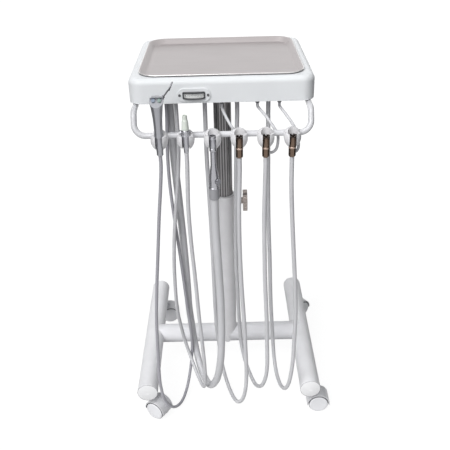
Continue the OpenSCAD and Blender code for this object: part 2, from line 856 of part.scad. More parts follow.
// Solid with upright corners and a rounded upper edge
module head_solid() {
    cx = head_w / 2 - head_corner;
    cy = head_d / 2 - head_corner;
    translate([0, head_mid, head_z]) {
        linear_extrude(head_h) square([2 * cx, 2 * cy], center = true);
        for (sx = [-1, 1], sy = [-1, 1]) translate([sx * cx, sy * cy, 0])
            rotate_extrude() edge_profile(head_corner, head_edge, head_h);
        for (turn = [0, 180]) rotate([0, 0, turn]) {
            translate([cx, 0, 0]) rotate([90, 0, 0]) linear_extrude(2 * cy, center = true)
                edge_profile(head_corner, head_edge, head_h);
            rotate([0, 0, 90]) translate([cy, 0, 0]) rotate([90, 0, 0])
                linear_extrude(2 * cx, center = true)
                    edge_profile(head_corner, head_edge, head_h);
        }
    }
}

// Oval pad round the gauge on the head's front face
module gauge_pad() {
    half_w = gauge_screw_x + 5 - pad_half_h;
    translate([gauge_x, pad_y, gauge_z]) rotate([-90, 0, 0]) linear_extrude(pad_t + 1) {
        for (s = [-1, 1]) translate([s * half_w, 0]) circle(pad_half_h);
        square([2 * half_w, 2 * pad_half_h], center = true);
    }
}

// White housing with the recess for the tray
module head_shell() {
    inset = 2 * shell_wall;
    tray_gap = 2 * (recess_gap - rim_w);
    at_post() color("white") difference() {
        union() {
            head_solid();
            gauge_pad();
        }
        difference() {
            slab(head_w - inset, head_d - inset, head_corner - shell_wall,
                head_z - cut, cavity_top);
            at_head_posts() translate([0, 0, head_z + plate_t])
                cylinder(h = head_h, r = post_r);
        }
        slab(tray_w + tray_gap, tray_d + tray_gap, tray_corner - rim_w + recess_gap,
            tray_bottom, head_top + cut);
        at_head_posts() translate([0, 0, head_z])
            cylinder(h = screw_hole_h, r = screw_d / 2 - 0.5);
        translate([gauge_x - gauge_hole_w / 2, pad_y - cut, gauge_z - gauge_hole_h / 2])
            cube([gauge_hole_w, housing_y - pad_y + 2 * cut, gauge_hole_h]);
        at_gauge_screws() rod_y(pad_y - cut, pad_y + 14, gauge_screw_r);
    }
}

// Places children at the two screws of the gauge
module at_gauge_screws() {
    for (s = [-1, 1]) translate([gauge_x + s * gauge_screw_x, 0, gauge_z]) children();
}

// Screws of the base plate, bolts of the mast flange and screws of the gauge
module head_screws() {
    at_post() color("silver") {
        at_head_posts() {
            translate([0, 0, head_z - 3]) cylinder(h = 3, r = screw_d);
            translate([0, 0, head_z - 1]) cylinder(h = 20, r = screw_d / 2 - 0.5);
        }
        for (k = [0:bolt_count - 1])
            rotate([0, 0, 45 + 360 * k / bolt_count]) translate([flange_bolt_r, 0, 0]) {
                translate([0, 0, flange_z - 3.5]) cylinder(h = 3.5, r = screw_d * 0.85);
                translate([0, 0, flange_z - 1])
                    cylinder(h = flange_t + plate_t + 5, r = screw_d / 2);
                translate([0, 0, head_z + plate_t])
                    cylinder(h = 3.5, r = screw_d, $fn = 6);
            }
        at_gauge_screws() {
            rod_y(pad_y, pad_y + 12, gauge_screw_r);
            rod_y(pad_y - 1.6, pad_y, 2 * gauge_screw_r);
        }
    }
}

// Drilled block inside the head that shares out air and water
module control_block() {
    block_low = head_z + plate_t;
    at_post() color("lightsteelblue") difference() {
        translate([-block_size.x / 2, block_front, block_low]) cube(block_size);
        for (k = [-2:2]) translate([k * port_pitch, 0, block_low + port_up])
            rod_y(block_front - cut, block_front + port_deep, port_r);
        for (s = [-1, 1])
            translate([s * well_pitch / 2, block_front + block_size.y / 2, block_low + well_up])
                cylinder(h = block_size.z, r = well_r);
    }
}

// Bushing under the rear of the head where the supply line goes in
module supply_inlet() {
    at_post() translate([inlet_x, inlet_y, 0]) color("dimgray") difference() {
        union() {
            translate([0, 0, head_z - inlet_h]) cylinder(h = inlet_h, r = inlet_r + 2.5);
            translate([0, 0, head_z - 5]) cylinder(h = 5, r = inlet_r + 6, $fn = 6);
        }
        translate([0, 0, head_z - inlet_h - cut])
            cylinder(h = inlet_h + 2 * cut, r = inlet_r);
    }
}

// Gland for one hose: a hexagon under the plate and a round collar
module gland(p, r) {
    translate([p.x, p.y, head_z - gland_h]) {
        cylinder(h = gland_h, r = r + 1.6);
        translate([0, 0, gland_h - 6]) cylinder(h = 6, r = r + 3, $fn = 6);
    }
}

module hose_glands() {
    at_post() color("dimgray") {
        gland(route_syringe[0], syringe_hose_r);
        gland(route_ejector[0], ejector_hose_r);
        gland(route_hve[0], hve_hose_r);
        for (route = [route_tool_1, route_tool_2, route_tool_3])
            gland(route[0], tool_hose_d / 2);
        for (route = signal_routes) translate([route[0].x, route[0].y, head_z - nipple_h])
            cylinder(h = nipple_h, r = signal_d / 2 + 1.2);
    }
}

// Two blocks under the head that hold the arms of the bar
module bar_sockets() {
    at_post() color("dimgray") for (s = [-1, 1]) difference() {
        translate([s * bar_w / 2 - socket_w / 2, -socket_front, arm_z - bar_r - 2])
            cube([socket_w, socket_front - socket_back, head_z - arm_z + bar_r + 2]);
        translate([s * bar_w / 2, 0, arm_z])
            rod_y(-socket_front - cut, -socket_back + cut, bar_r);
    }
}

// Bend of the bar in the XY plane, from angle 0 on
module bar_elbow(bend, angle) {
    rotate_extrude(angle = angle) translate([bend, 0]) circle(bar_r);
}

// Bent bar: two arms, a knee on each, two corners and the crossbar
module holder_bar() {
    half = bar_w / 2 - bar_bend;
    r = bar_r - bend_step;
    at_post() color("white") {
        for (s = [-1, 1]) translate([s * bar_w / 2, 0, arm_z]) {
            rod_y(-arm_knee + knee_reach - bend_lap, -arm_back, r);
            translate([0, -arm_knee + knee_reach, -knee_bend])
                rotate([90, 0, 90]) rotate([0, 0, 90]) bar_elbow(knee_bend, bar_slope);
        }
        translate([0, -bar_front, bar_z]) rotate([bar_slope, 0, 0]) {
            rod_x(-half - bend_lap, half + bend_lap, r);
            for (s = [-1, 1]) translate([s * bar_w / 2, 0, 0])
                rod_y(bar_bend - bend_lap, slope_len + bend_lap, r);
            translate([half, bar_bend, 0]) rotate([0, 0, -90]) bar_elbow(bar_bend, 90);
            translate([-half, bar_bend, 0]) rotate([0, 0, 180]) bar_elbow(bar_bend, 90);
        }
    }
}

// ------------------------------------------------------------------ gauge

// Rounded plate facing the front, centred on x = 0 and z = 0
module front_plate(w, h, r, y0, y1) {
    translate([0, y1, 0]) rotate([90, 0, 0]) linear_extrude(y1 - y0) round_rect(w, h, r);
}

// Dark frame with its curved front and the window in it
module gauge_bezel() {
    at_post() color("darkslategray") difference() {
        intersection() {
            at_gauge_pin(gauge_z - gauge_h / 2) cylinder(h = gauge_h, r = gauge_r);
            translate([gauge_x, 0, gauge_z])
                front_plate(gauge_w, gauge_h, frame_side, pad_y - gauge_w, pad_y);
        }
        intersection() {
            at_gauge_pin(gauge_z - gauge_h / 2)
                cylinder(h = gauge_h, r = gauge_r - frame_t);
            translate([gauge_x - gauge_hole_w / 2, pad_y - gauge_w, gauge_z - gauge_hole_h / 2])
                cube([gauge_hole_w, gauge_w + cut, gauge_hole_h]);
        }
        translate([gauge_x, 0, gauge_z])
            front_plate(window_w, window_h, 1, pad_y - gauge_w, pad_y);
    }
}

// Clear curved pane in the frame's window
module gauge_lens() {
    at_post() color("azure") intersection() {
        at_gauge_pin(gauge_z - gauge_h / 2) difference() {
            cylinder(h = gauge_h, r = gauge_r - lens_inset);
            translate([0, 0, -cut])
                cylinder(h = gauge_h + 2 * cut, r = gauge_r - lens_inset - lens_t);
        }
        translate([gauge_x, 0, gauge_z])
            front_plate(window_w, window_h, 1, pad_y - gauge_w, pad_y);
    }
}

// Places children on the needle's upright axis at a height
module at_gauge_pin(z) {
    translate([gauge_x, pivot_y, z]) children();
}

// Housing behind the front wall, open to the front, with an ear for each screw
module gauge_housing() {
    depth = pivot_y + 4 - housing_y;
    at_post() color("dimgray") difference() {
        union() {
            translate([gauge_x - gauge_w / 2, housing_y, housing_low])
                cube([gauge_w, depth, housing_top - housing_low]);
            translate([gauge_x - gauge_screw_x - 4, housing_y, gauge_z - 4])
                cube([2 * gauge_screw_x + 8, 2, 8]);
        }
        translate([gauge_x - gauge_hole_w / 2, housing_y - cut, dial_low])
            cube([gauge_hole_w, depth - housing_wall + cut,
                housing_top - housing_wall - dial_low]);
        at_gauge_pin(housing_low - cut)
            cylinder(h = housing_top - housing_low + 2 * cut, r = needle_pin_r + run_gap);
        at_gauge_screws() rod_y(housing_y - cut, housing_y + 3, gauge_screw_r);
    }
}

// White dial block with its curved face
module gauge_dial() {
    half_w = gauge_hole_w / 2 - seat_gap;
    at_post() color("white") intersection() {
        at_gauge_pin(dial_low) cylinder(h = dial_top - dial_low, r = dial_r);
        translate([gauge_x - half_w, pad_y - gauge_w, dial_low - cut])
            cube([2 * half_w, dial_back - pad_y + gauge_w, gauge_h + 2 * cut]);
    }
}

// Needle: a pin, an arm over the dial and a blade down its curved face
module gauge_needle() {
    reach = dial_r + 0.4;
    at_post() at_gauge_pin(0) rotate([0, 0, -needle_rest]) color("black") {
        translate([0, 0, housing_low])
            cylinder(h = housing_top - housing_low, r = needle_pin_r);
        translate([0, 0, needle_z]) cylinder(h = needle_t, r = needle_hub_r);
        translate([-0.8, -reach - 0.8, needle_z]) cube([1.6, reach + 0.8, needle_t]);
        translate([-0.4, -reach - 0.8, gauge_z - 3.5])
            cube([0.8, 0.8, needle_z + needle_t - gauge_z + 3.5]);
    }
}

// ------------------------------------------------------------------- tray

// Stainless tray that lies in the recess of the head
module tray() {
    body_w = tray_w - 2 * rim_w;
    body_d = tray_d - 2 * rim_w;
    body_r = tray_corner - rim_w;
    floor_w = body_w - 2 * tray_lean;
    floor_d = body_d - 2 * tray_lean;
    floor_r = body_r - tray_lean;
    rim_low = tray_rim_top - rim_t;
    at_post() color("silver") difference() {
        union() {
            slab(tray_w, tray_d, tray_corner, rim_low, tray_rim_top);
            leaning_slab(floor_w, floor_d, floor_r, body_w, tray_bottom, rim_low);
        }
        leaning_slab(floor_w - 2 * tray_t, floor_d - 2 * tray_t, floor_r - tray_t,
            body_w - 2 * tray_t, tray_bottom + tray_t, tray_rim_top + 0.01);
    }
}

// ---------------------------------------------------------------- holders

// Outline of a holder's lower part, bellied and drawn in towards its foot
module holder_section() {
    intersection() {
        translate([0, holder_low]) square([holder_od, holder_h]);
        translate([holder_r - holder_curve, holder_low + holder_waist])
            circle(holder_curve, $fn = 128);
    }
}

// Horseshoe holder: a ball clamped on the bar that runs down round its tool, with a
// seat for the tool's collar, a front slot and, on the holders of the driven tools,
// a nipple for a signal tube. Above the holder's top, room is the radius kept free.
module holder(i, bore_r, collar, floor_z, room = 0, nipple = false) {
    at_post() translate([holder_x(i), 0, 0]) color("white") difference() {
        union() {
            translate([0, tool_y + 2, 0]) rotate_extrude() holder_section();
            translate([0, ball_y, ball_z]) sphere(holder_r);
            if (nipple) translate([nipple_x, nipple_y, nipple_low])
                cylinder(h = holder_low + 13 - nipple_low, r = signal_d / 2);
        }
        translate([0, -bar_front, bar_z]) rod_x(-holder_od, holder_od, bar_r);
        translate([0, tool_y, holder_low - cut])
            cylinder(h = 2 * holder_h, r = bore_r);
        translate([0, tool_y, floor_z])
            cylinder(h = 2 * holder_h, r = collar + bore_gap);
        if (room > 0) translate([0, tool_y, holder_top])
            cylinder(h = holder_h, r = room);
        translate([-slot_w / 2, tool_y - holder_od, holder_low - cut])
            cube([slot_w, holder_od, 2 * holder_h]);
    }
}

module holder_1() { holder(0, grip_r + bore_gap, seat_r, seat_z); }

module holder_2() { holder(1, ejector_neck_r + bore_gap, seat_r, seat_z, lever_room); }

module holder_3() { holder(2, hve_nose_r + 0.9, hve_seat_r, hve_seat_z); }

module tool_holder(i) {
    holder(i, connector_r + bore_gap, collar_r, collar_z, nipple = true);
}

module holder_4() { tool_holder(3); }

module holder_5() { tool_holder(4); }

module holder_6() { tool_holder(5); }

// ------------------------------------------------------------------ tools

module at_tool(i) {
    at_post() translate([holder_x(i), tool_y, 0]) children();
}

// Moves a button, drawn with its face at z = 0 looking up, to the slanted face
module at_button(s) {
    translate([0, 0, facet_z]) rotate([facet_tilt, 0, 0])
        translate([s * button_x, -1, 0]) children();
}

// Places the syringe's tip, drawn straight up from its seat
module at_tip() {
    translate(tip_base) rotate([0, tip_tilt, tip_turn]) children();
}

// Three-way syringe without buttons and tip
module syringe_body() {
    r = syringe_head_r;
    at_tool(0) color("lightsteelblue") difference() {
        union() {
            rotate_extrude() polygon([
                [0, syringe_low], [syringe_hose_r + 1, syringe_low],
                [grip_r - 0.8, syringe_low + 3], [grip_r - 0.8, syringe_low + 8],
                [grip_r, holder_low + 6], [grip_r, seat_z], [seat_r, seat_z],
                [seat_r, holder_top], [grip_r + 1.2, holder_top + 4],
                [grip_r + 1.2, syringe_top - 60], [grip_r + 2, syringe_top - 43],
                [r - 2, syringe_top - 21], [r, syringe_top - 10],
                [r, syringe_top - 6], [r - 3, syringe_top], [0, syringe_top]
            ]);
            at_tip() translate([0, 0, -8]) cylinder(h = 8, r = tip_r + 2.4);
        }
        translate([0, 0, facet_z]) rotate([facet_tilt, 0, 0])
            translate([-2 * r, -3 * r, 0]) cube([4 * r, 3 * r + 3, 3 * r]);
        for (s = [-1, 1]) at_button(s) translate([0, 0, -button_travel - 4])
            cylinder(h = button_travel + 5, r = button_r + run_gap);
        at_tip() translate([0, 0, -6]) cylinder(h = 7, r = tip_r + run_gap);
    }
}

// Bent metal tip of the syringe
module syringe_tip() {
    bend_r = 12;
    at_tool(0) at_tip() color("gray") {
        translate([0, 0, -5.7]) cylinder(h = 5.7 + tip_straight, r = tip_r);
        translate([0, 0, 0.3]) cylinder(h = 3, r = tip_r + 1.6);
        translate([bend_r, 0, tip_straight]) rotate([90, 180 - tip_bend, 0]) {
            rotate_extrude(angle = tip_bend) translate([bend_r, 0]) circle(tip_r);
            translate([bend_r, 0, 0]) rotate([90, 0, 0]) cylinder(h = tip_end, r = tip_r);
        }
    }
}

// Push button of the syringe
module syringe_button(s) {
    at_tool(0) at_button(s) color(s < 0 ? "steelblue" : "seagreen")
        translate([0, 0, -3.7]) cylinder(h = 3.7 + button_out, r = button_r);
}

module air_button() { syringe_button(-1); }

module water_button() { syringe_button(1); }

// Saliva ejector valve
module ejector_valve() {
    at_tool(1) color("silver") difference() {
        rotate_extrude() polygon([
            [0, ejector_low], [ejector_hose_r + 0.4, ejector_low],
            [ejector_hose_r + 1, ejector_low + 7], [ejector_neck_r, seat_z - 9],
            [ejector_neck_r, seat_z], [seat_r, seat_z], [seat_r, holder_top + 0.5],
            [ejector_r, holder_top + 1.5], [ejector_r, ejector_body_top - 2],
            [ejector_r - 1.5, ejector_body_top], [0, ejector_body_top]
        ]);
        translate([0, 0, ejector_spool_z]) rod_x(-seat_r - cut, seat_r + cut, spool_r + run_gap);
        translate([0, 0, ejector_body_top - 2.5]) cylinder(h = 4, r = ejector_bore / 2 - 0.6);
    }
}

// Plastic tip of the saliva ejector
module ejector_tip() {
    r = ejector_nose_r;
    at_tool(1) color("honeydew") rotate_extrude() polygon([
        [ejector_bore / 2, ejector_body_top], [r + 3.2, ejector_body_top],
        [r + 3.2, ejector_body_top + 4], [r + 2, ejector_tip_top - 11],
        [r + 0.9, ejector_tip_top - 9], [r + 0.7, ejector_tip_top - 1],
        [r + 0.4, ejector_tip_top],
        [ejector_bore / 2, ejector_tip_top]
    ]);
}

// Spool of a suction valve, lying along X, with a lever disc at its end
module spool(side, body_r, disc_r, disc_t) {
    end = body_r + seat_gap;
    rotate([0, 0, side > 0 ? 0 : 180]) {
        rod_x(-body_r + 1, end + 1, spool_r);
        rod_x(end, end + disc_t, disc_r);
        translate([end, -disc_r - lever_drop, -1.5]) cube([disc_t, disc_r, 3]);
    }
}

module ejector_lever() {
    at_tool(1) translate([0, 0, ejector_spool_z]) color("silver")
        spool(-1, ejector_r, 4.5, 3);
}

// High-volume suction valve
module hve_valve() {
    swell = hve_swell_r;
    at_tool(2) color("silver") difference() {
        rotate_extrude() polygon([
            [0, hve_low + cuff_h], [swell + 0.6, hve_low + cuff_h],
            [swell + 0.6, hve_low + cuff_h + 2], [swell, hve_low + cuff_h + 3],
            [swell - 0.4, hve_spool_z + 8], [hve_nose_r - 1, hve_spool_z + 34],
            [hve_nose_r - 1.2, holder_low - 8], [hve_nose_r + 0.5, holder_low - 6],
            [hve_nose_r + 0.5, holder_low - 2], [hve_nose_r, holder_low - 1],
            [hve_nose_r, hve_seat_z], [hve_seat_r, hve_seat_z],
            [hve_seat_r, hve_seat_z + 2.5], [hve_nose_r, hve_seat_z + 3],
            [hve_nose_r, hve_top], [0, hve_top]
        ]);
        translate([0, 0, hve_top - 18]) cylinder(h = 18 + cut, r = hve_bore / 2);
        translate([0, 0, hve_spool_z]) rotate([0, 0, hve_spool_turn])
            rod_x(-swell - cut, swell + cut, spool_r + run_gap);
    }
}

module hve_lever() {
    at_tool(2) translate([0, 0, hve_spool_z]) rotate([0, 0, hve_spool_turn])
        color("silver") spool(1, hve_swell_r, hve_disc_r, hve_disc_t);
}

// Rubber cuff between the suction valve and its hose
module hve_cuff() {
    at_tool(2) color("gray") translate([0, 0, hve_low])
        cylinder(h = cuff_h, r = cuff_r);
}

// Four-hole handpiece connector with its flared, slotted mouth
module connector(i) {
    r = connector_r;
    at_tool(i) color("rosybrown") difference() {
        rotate_extrude() polygon([
            [0, connector_low], [r - 1.2, connector_low], [r, connector_low + 2],
            [r, connector_low + 18], [r + 0.4, connector_low + 18.5],
            [r + 0.4, connector_low + 21], [r, connector_low + 21.5],
            [r, collar_z], [collar_r, collar_z + 3], [collar_r, connector_top],
            [0, connector_top]
        ]);
        translate([0, 0, connector_top - socket_depth])
            cylinder(h = socket_depth + cut, r = connector_socket_r);
        for (k = [0:3]) rotate([0, 0, 45 + 90 * k]) translate([3, 0, connector_low + 8])
            cylinder(h = connector_len, r = k % 2 == 0 ? 1.4 : 1);
        translate([-1.6, -collar_r - cut, connector_top - 3])
            cube([3.2, 2 * collar_r + 2 * cut, 3 + cut]);
    }
}

module connector_1() { connector(3); }

module connector_2() { connector(4); }

module connector_3() { connector(5); }

// ------------------------------------------------------------------ hoses

module hose(route, d, step) {
    at_post() color("lightgray") swept_tube(route, d, step, 10, [1, 0, 0]);
}

module hose_syringe() { hose(route_syringe, syringe_hose_d, 22); }

module hose_ejector() { hose(route_ejector, ejector_hose_d, 24); }

module hose_hve() { hose(route_hve, hve_hose_d, 36); }

module hose_tool_1() { hose(route_tool_1, tool_hose_d, 26); }

module hose_tool_2() { hose(route_tool_2, tool_hose_d, 26); }

module hose_tool_3() { hose(route_tool_3, tool_hose_d, 26); }

module signal_tubes() {
    at_post() color("lightgray") for (route = signal_routes)
        swept_tube(route, signal_d, 9, 8, [0, 1, 0]);
}

leg_left();
leg_right();
cross_tube();
column_tube();
leg_caps();
guide_bush();
clamp_boss();
caster_stems();
clamp_screw();
hood_fl();
hood_fr();
hood_rl();
hood_rr();
wheels_fl();
wheels_fr();
wheels_rl();
wheels_rr();
mast_tube();
mast_foot();
mast_flange();
head_base();
head_shell();
head_screws();
control_block();
supply_inlet();
hose_glands();
bar_sockets();
holder_bar();
gauge_bezel();
gauge_lens();
gauge_housing();
gauge_dial();
gauge_needle();
tray();
holder_1();
holder_2();
holder_3();
holder_4();
holder_5();
holder_6();
syringe_body();
syringe_tip();
air_button();
water_button();
ejector_valve();
ejector_tip();
ejector_lever();
hve_valve();
hve_lever();
hve_cuff();
connector_1();
connector_2();
connector_3();
hose_syringe();
hose_ejector();
hose_hve();
hose_tool_1();
hose_tool_2();
hose_tool_3();
signal_tubes();
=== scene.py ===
"""Looks of a portable dental unit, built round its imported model.

Lengths in the classes are millimetres, measured from the axis of the post, and
become metres in the model's own frame through at_post().
"""

import logging
import math
from collections.abc import Callable, Iterable, Sequence
from dataclasses import dataclass
from enum import Enum

import bmesh
import bpy
from mathutils import Matrix, Vector


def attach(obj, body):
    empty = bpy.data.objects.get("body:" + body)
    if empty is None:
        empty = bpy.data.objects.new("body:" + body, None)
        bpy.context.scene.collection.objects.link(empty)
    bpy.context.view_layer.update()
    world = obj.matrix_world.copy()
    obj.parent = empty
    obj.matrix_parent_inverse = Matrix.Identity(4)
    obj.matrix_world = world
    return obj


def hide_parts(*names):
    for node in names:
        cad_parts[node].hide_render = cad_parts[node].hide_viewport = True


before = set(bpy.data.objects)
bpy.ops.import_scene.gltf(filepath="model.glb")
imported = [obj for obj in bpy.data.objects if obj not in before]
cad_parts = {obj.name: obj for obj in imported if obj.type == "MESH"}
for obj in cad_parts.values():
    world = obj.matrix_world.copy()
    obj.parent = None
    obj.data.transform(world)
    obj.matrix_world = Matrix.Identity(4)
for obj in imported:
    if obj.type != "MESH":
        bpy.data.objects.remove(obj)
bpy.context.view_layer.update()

LOG = logging.getLogger("dental_unit")
MM = 0.001
POST = Vector((-15.5624, 6.687, 0.0))  # axis of the post in the model's frame
Point = tuple[float, float, float]


def at_post(x: float, y: float, z: float) -> Vector:
    """Point of the model's frame, in metres.

    Args:
        x: millimetres right of the post.
        y: millimetres behind the post.
        z: millimetres above the floor.

    Returns:
        The point as a vector in metres.
    """
    return (Vector((x, y, z)) + POST) * MM


def linear(rgb: Sequence[int]) -> tuple[float, float, float, float]:
    """Scene-linear colour of an 8-bit display colour.

    Args:
        rgb: red, green and blue from 0 to 255.

    Returns:
        Linear red, green and blue, and an alpha of 1.
    """
    def one(c: float) -> float:
        """Linear value of one channel."""
        c /= 255
        return c / 12.92 if c <= 0.04045 else ((c + 0.055) / 1.055) ** 2.4

    return one(rgb[0]), one(rgb[1]), one(rgb[2]), 1.0


# ---------------------------------------------------------------- finishes

NOISE_SPAN = (0.3, 0.7)  # holds nearly all values of a noise texture
NOISE_DETAIL = 3.0
GLOSS_DETAIL = 4.0
GLOSS_GRAINS = 3.0  # grains across one patch of even gloss
COAT_ROUGH = 0.08
LEAST_ROUGH = 0.02
EDGE_SAMPLES = 4


class Grain(Enum):
    """Fine surface structure of a finish: how its noise is stretched in x, y, z."""

    EVEN = (1.0, 1.0, 1.0)
    BRUSHED_X = (0.02, 1.0, 1.0)
    BRUSHED_Z = (1.0, 1.0, 0.02)
    TURNED = (0.15, 0.15, 1.0)


@dataclass(frozen=True)
class Finish:
    """One procedural material: a colour that mottles a little, a grain and a gloss."""

    name: str
    rgb: tuple[int, int, int]
    rough: float
    metallic: float = 0.0
    grain: Grain = Grain.EVEN
    grain_mm: float = 0.8
    bump_mm: float = 0.01
    mottle: float = 0.04
    mottle_mm: float = 60.0
    rough_spread: float = 0.06
    specular: float = 0.5
    coat: float = 0.0
    edge_mm: float = 0.0

    def make(self) -> bpy.types.Material:
        """Builds the material once and reuses it after that.

        Returns:
            The material.
        """
        title = "look_" + self.name
        found = bpy.data.materials.get(title)
        if found:
            return found
        mat = bpy.data.materials.new(title)
        mat.use_nodes = True
        tree = mat.node_tree
        tree.nodes.clear()
        out = tree.nodes.new("ShaderNodeOutputMaterial")
        shader = tree.nodes.new("ShaderNodeBsdfPrincipled")
        tree.links.new(shader.outputs["BSDF"], out.inputs["Surface"])
        shader.inputs["Metallic"].default_value = self.metallic
        shader.inputs["Specular IOR Level"].default_value = self.specular
        shader.inputs["Coat Weight"].default_value = self.coat
        shader.inputs["Coat Roughness"].default_value = COAT_ROUGH
        place = tree.nodes.new("ShaderNodeTexCoord")
        self._colour(tree, shader, place)
        self._gloss(tree, shader, place)
        self._relief(tree, shader, place)
        return mat

    def _noise(self, tree: bpy.types.NodeTree, place: bpy.types.Node,
               size_mm: float, stretch: Sequence[float], detail: float) -> bpy.types.Node:
        """Noise texture fixed to the piece.

        Args:
            tree: the material's node tree.
            place: its texture coordinates.
            size_mm: size of the noise's features.
            stretch: how the noise is scaled along x, y and z.
            detail: octaves of finer noise.

        Returns:
            The noise node.
        """
        mapping = tree.nodes.new("ShaderNodeMapping")
        mapping.inputs["Scale"].default_value = [s / (size_mm * MM) for s in stretch]
        tree.links.new(place.outputs["Object"], mapping.inputs["Vector"])
        noise = tree.nodes.new("ShaderNodeTexNoise")
        noise.inputs["Scale"].default_value = 1.0
        noise.inputs["Detail"].default_value = detail
        tree.links.new(mapping.outputs["Vector"], noise.inputs["Vector"])
        return noise

    def _colour(self, tree: bpy.types.NodeTree, shader: bpy.types.Node,
                place: bpy.types.Node) -> None:
        """Base colour that drifts between two near shades.

        Args:
            tree: the material's node tree.
            shader: the surface shader.
            place: the texture coordinates.
        """
        noise = self._noise(tree, place, self.mottle_mm, Grain.EVEN.value, NOISE_DETAIL)
        ramp = tree.nodes.new("ShaderNodeValToRGB")
        shades = (1 - self.mottle, 1 + self.mottle)
        for stop, at, shade in zip(ramp.color_ramp.elements, NOISE_SPAN, shades):
            stop.position = at
            stop.color = [min(1, c * shade) for c in linear(self.rgb)[:3]] + [1]
        tree.links.new(noise.outputs["Fac"], ramp.inputs["Fac"])
        tree.links.new(ramp.outputs["Color"], shader.inputs["Base Color"])

    def _gloss(self, tree: bpy.types.NodeTree, shader: bpy.types.Node,
               place: bpy.types.Node) -> None:
        """Roughness that varies with the grain.

        Args:
            tree: the material's node tree.
            shader: the surface shader.
            place: the texture coordinates.
        """
        noise = self._noise(tree, place, self.grain_mm * GLOSS_GRAINS, self.grain.value,
                            GLOSS_DETAIL)
        spread = tree.nodes.new("ShaderNodeMapRange")
        spans = (*NOISE_SPAN, max(LEAST_ROUGH, self.rough - self.rough_spread),
                 min(1.0, self.rough + self.rough_spread))
        for name, value in zip(("From Min", "From Max", "To Min", "To Max"), spans):
            spread.inputs[name].default_value = value
        tree.links.new(noise.outputs["Fac"], spread.inputs["Value"])
        tree.links.new(spread.outputs["Result"], shader.inputs["Roughness"])

    def _relief(self, tree: bpy.types.NodeTree, shader: bpy.types.Node,
                place: bpy.types.Node) -> None:
        """Grain as a fine bump, over edges that are eased a little.

        Args:
            tree: the material's node tree.
            shader: the surface shader.
            place: the texture coordinates.
        """
        noise = self._noise(tree, place, self.grain_mm, self.grain.value, NOISE_DETAIL)
        bump = tree.nodes.new("ShaderNodeBump")
        bump.inputs["Strength"].default_value = 1.0
        bump.inputs["Distance"].default_value = self.bump_mm * MM
        tree.links.new(noise.outputs["Fac"], bump.inputs["Height"])
        if self.edge_mm:
            edge = tree.nodes.new("ShaderNodeBevel")
            edge.samples = EDGE_SAMPLES
            edge.inputs["Radius"].default_value = self.edge_mm * MM
            tree.links.new(edge.outputs["Normal"], bump.inputs["Normal"])
        tree.links.new(bump.outputs["Normal"], shader.inputs["Normal"])


@dataclass(frozen=True)
class FlutedFinish(Finish):
    """Finish of the mast, with painted shade down in the flutes round its axis."""

    groove_r: float = 20.25
    crest_r: float = 20.95
    groove_shade: float = 0.22

    def _colour(self, tree: bpy.types.NodeTree, shader: bpy.types.Node,
                place: bpy.types.Node) -> None:
        """Base colour times painted shade, which lessens with the distance from the axis.

        Args:
            tree: the material's node tree.
            shader: the surface shader.
            place: the texture coordinates.
        """
        super()._colour(tree, shader, place)
        plain = shader.inputs["Base Color"].links[0].from_socket
        steps = []
        for operation, values in (("SUBTRACT", POST * MM), ("MULTIPLY", (1.0, 1.0, 0.0)),
                                  ("LENGTH", None)):
            step = tree.nodes.new("ShaderNodeVectorMath")
            step.operation = operation
            if values:
                step.inputs[1].default_value = values
            source = steps[-1].outputs["Vector"] if steps else place.outputs["Object"]
            tree.links.new(source, step.inputs[0])
            steps.append(step)
        # Painted shade: darkest at the groove radius, full colour at the crests.
        shade = tree.nodes.new("ShaderNodeMapRange")
        for name, value in (("From Min", self.groove_r * MM), ("From Max", self.crest_r * MM),
                            ("To Min", self.groove_shade), ("To Max", 1.0)):
            shade.inputs[name].default_value = value
        tree.links.new(steps[-1].outputs["Value"], shade.inputs["Value"])
        dim = tree.nodes.new("ShaderNodeVectorMath")
        dim.operation = "SCALE"
        tree.links.new(plain, dim.inputs[0])
        tree.links.new(shade.outputs["Result"], dim.inputs["Scale"])
        tree.links.new(dim.outputs["Vector"], shader.inputs["Base Color"])


@dataclass(frozen=True)
class ClearPane:
    """Clear plastic of the gauge's window."""

    name: str = "clear_pane"
    rgb: tuple[int, int, int] = (246, 249, 250)
    ior: float = 1.3
    rough: float = 0.05
    see_through: float = 0.88

    def make(self) -> bpy.types.Material:
        """Builds a pane that is mostly see-through and a little glossy.

        Returns:
            The material.
        """
        mat = bpy.data.materials.new(self.name)
        mat.use_nodes = True
        shader = mat.node_tree.nodes["Principled BSDF"]
        shader.inputs["Base Color"].default_value = linear(self.rgb)
        shader.inputs["Roughness"].default_value = self.rough
        shader.inputs["IOR"].default_value = self.ior
        shader.inputs["Alpha"].default_value = 1 - self.see_through
        return mat


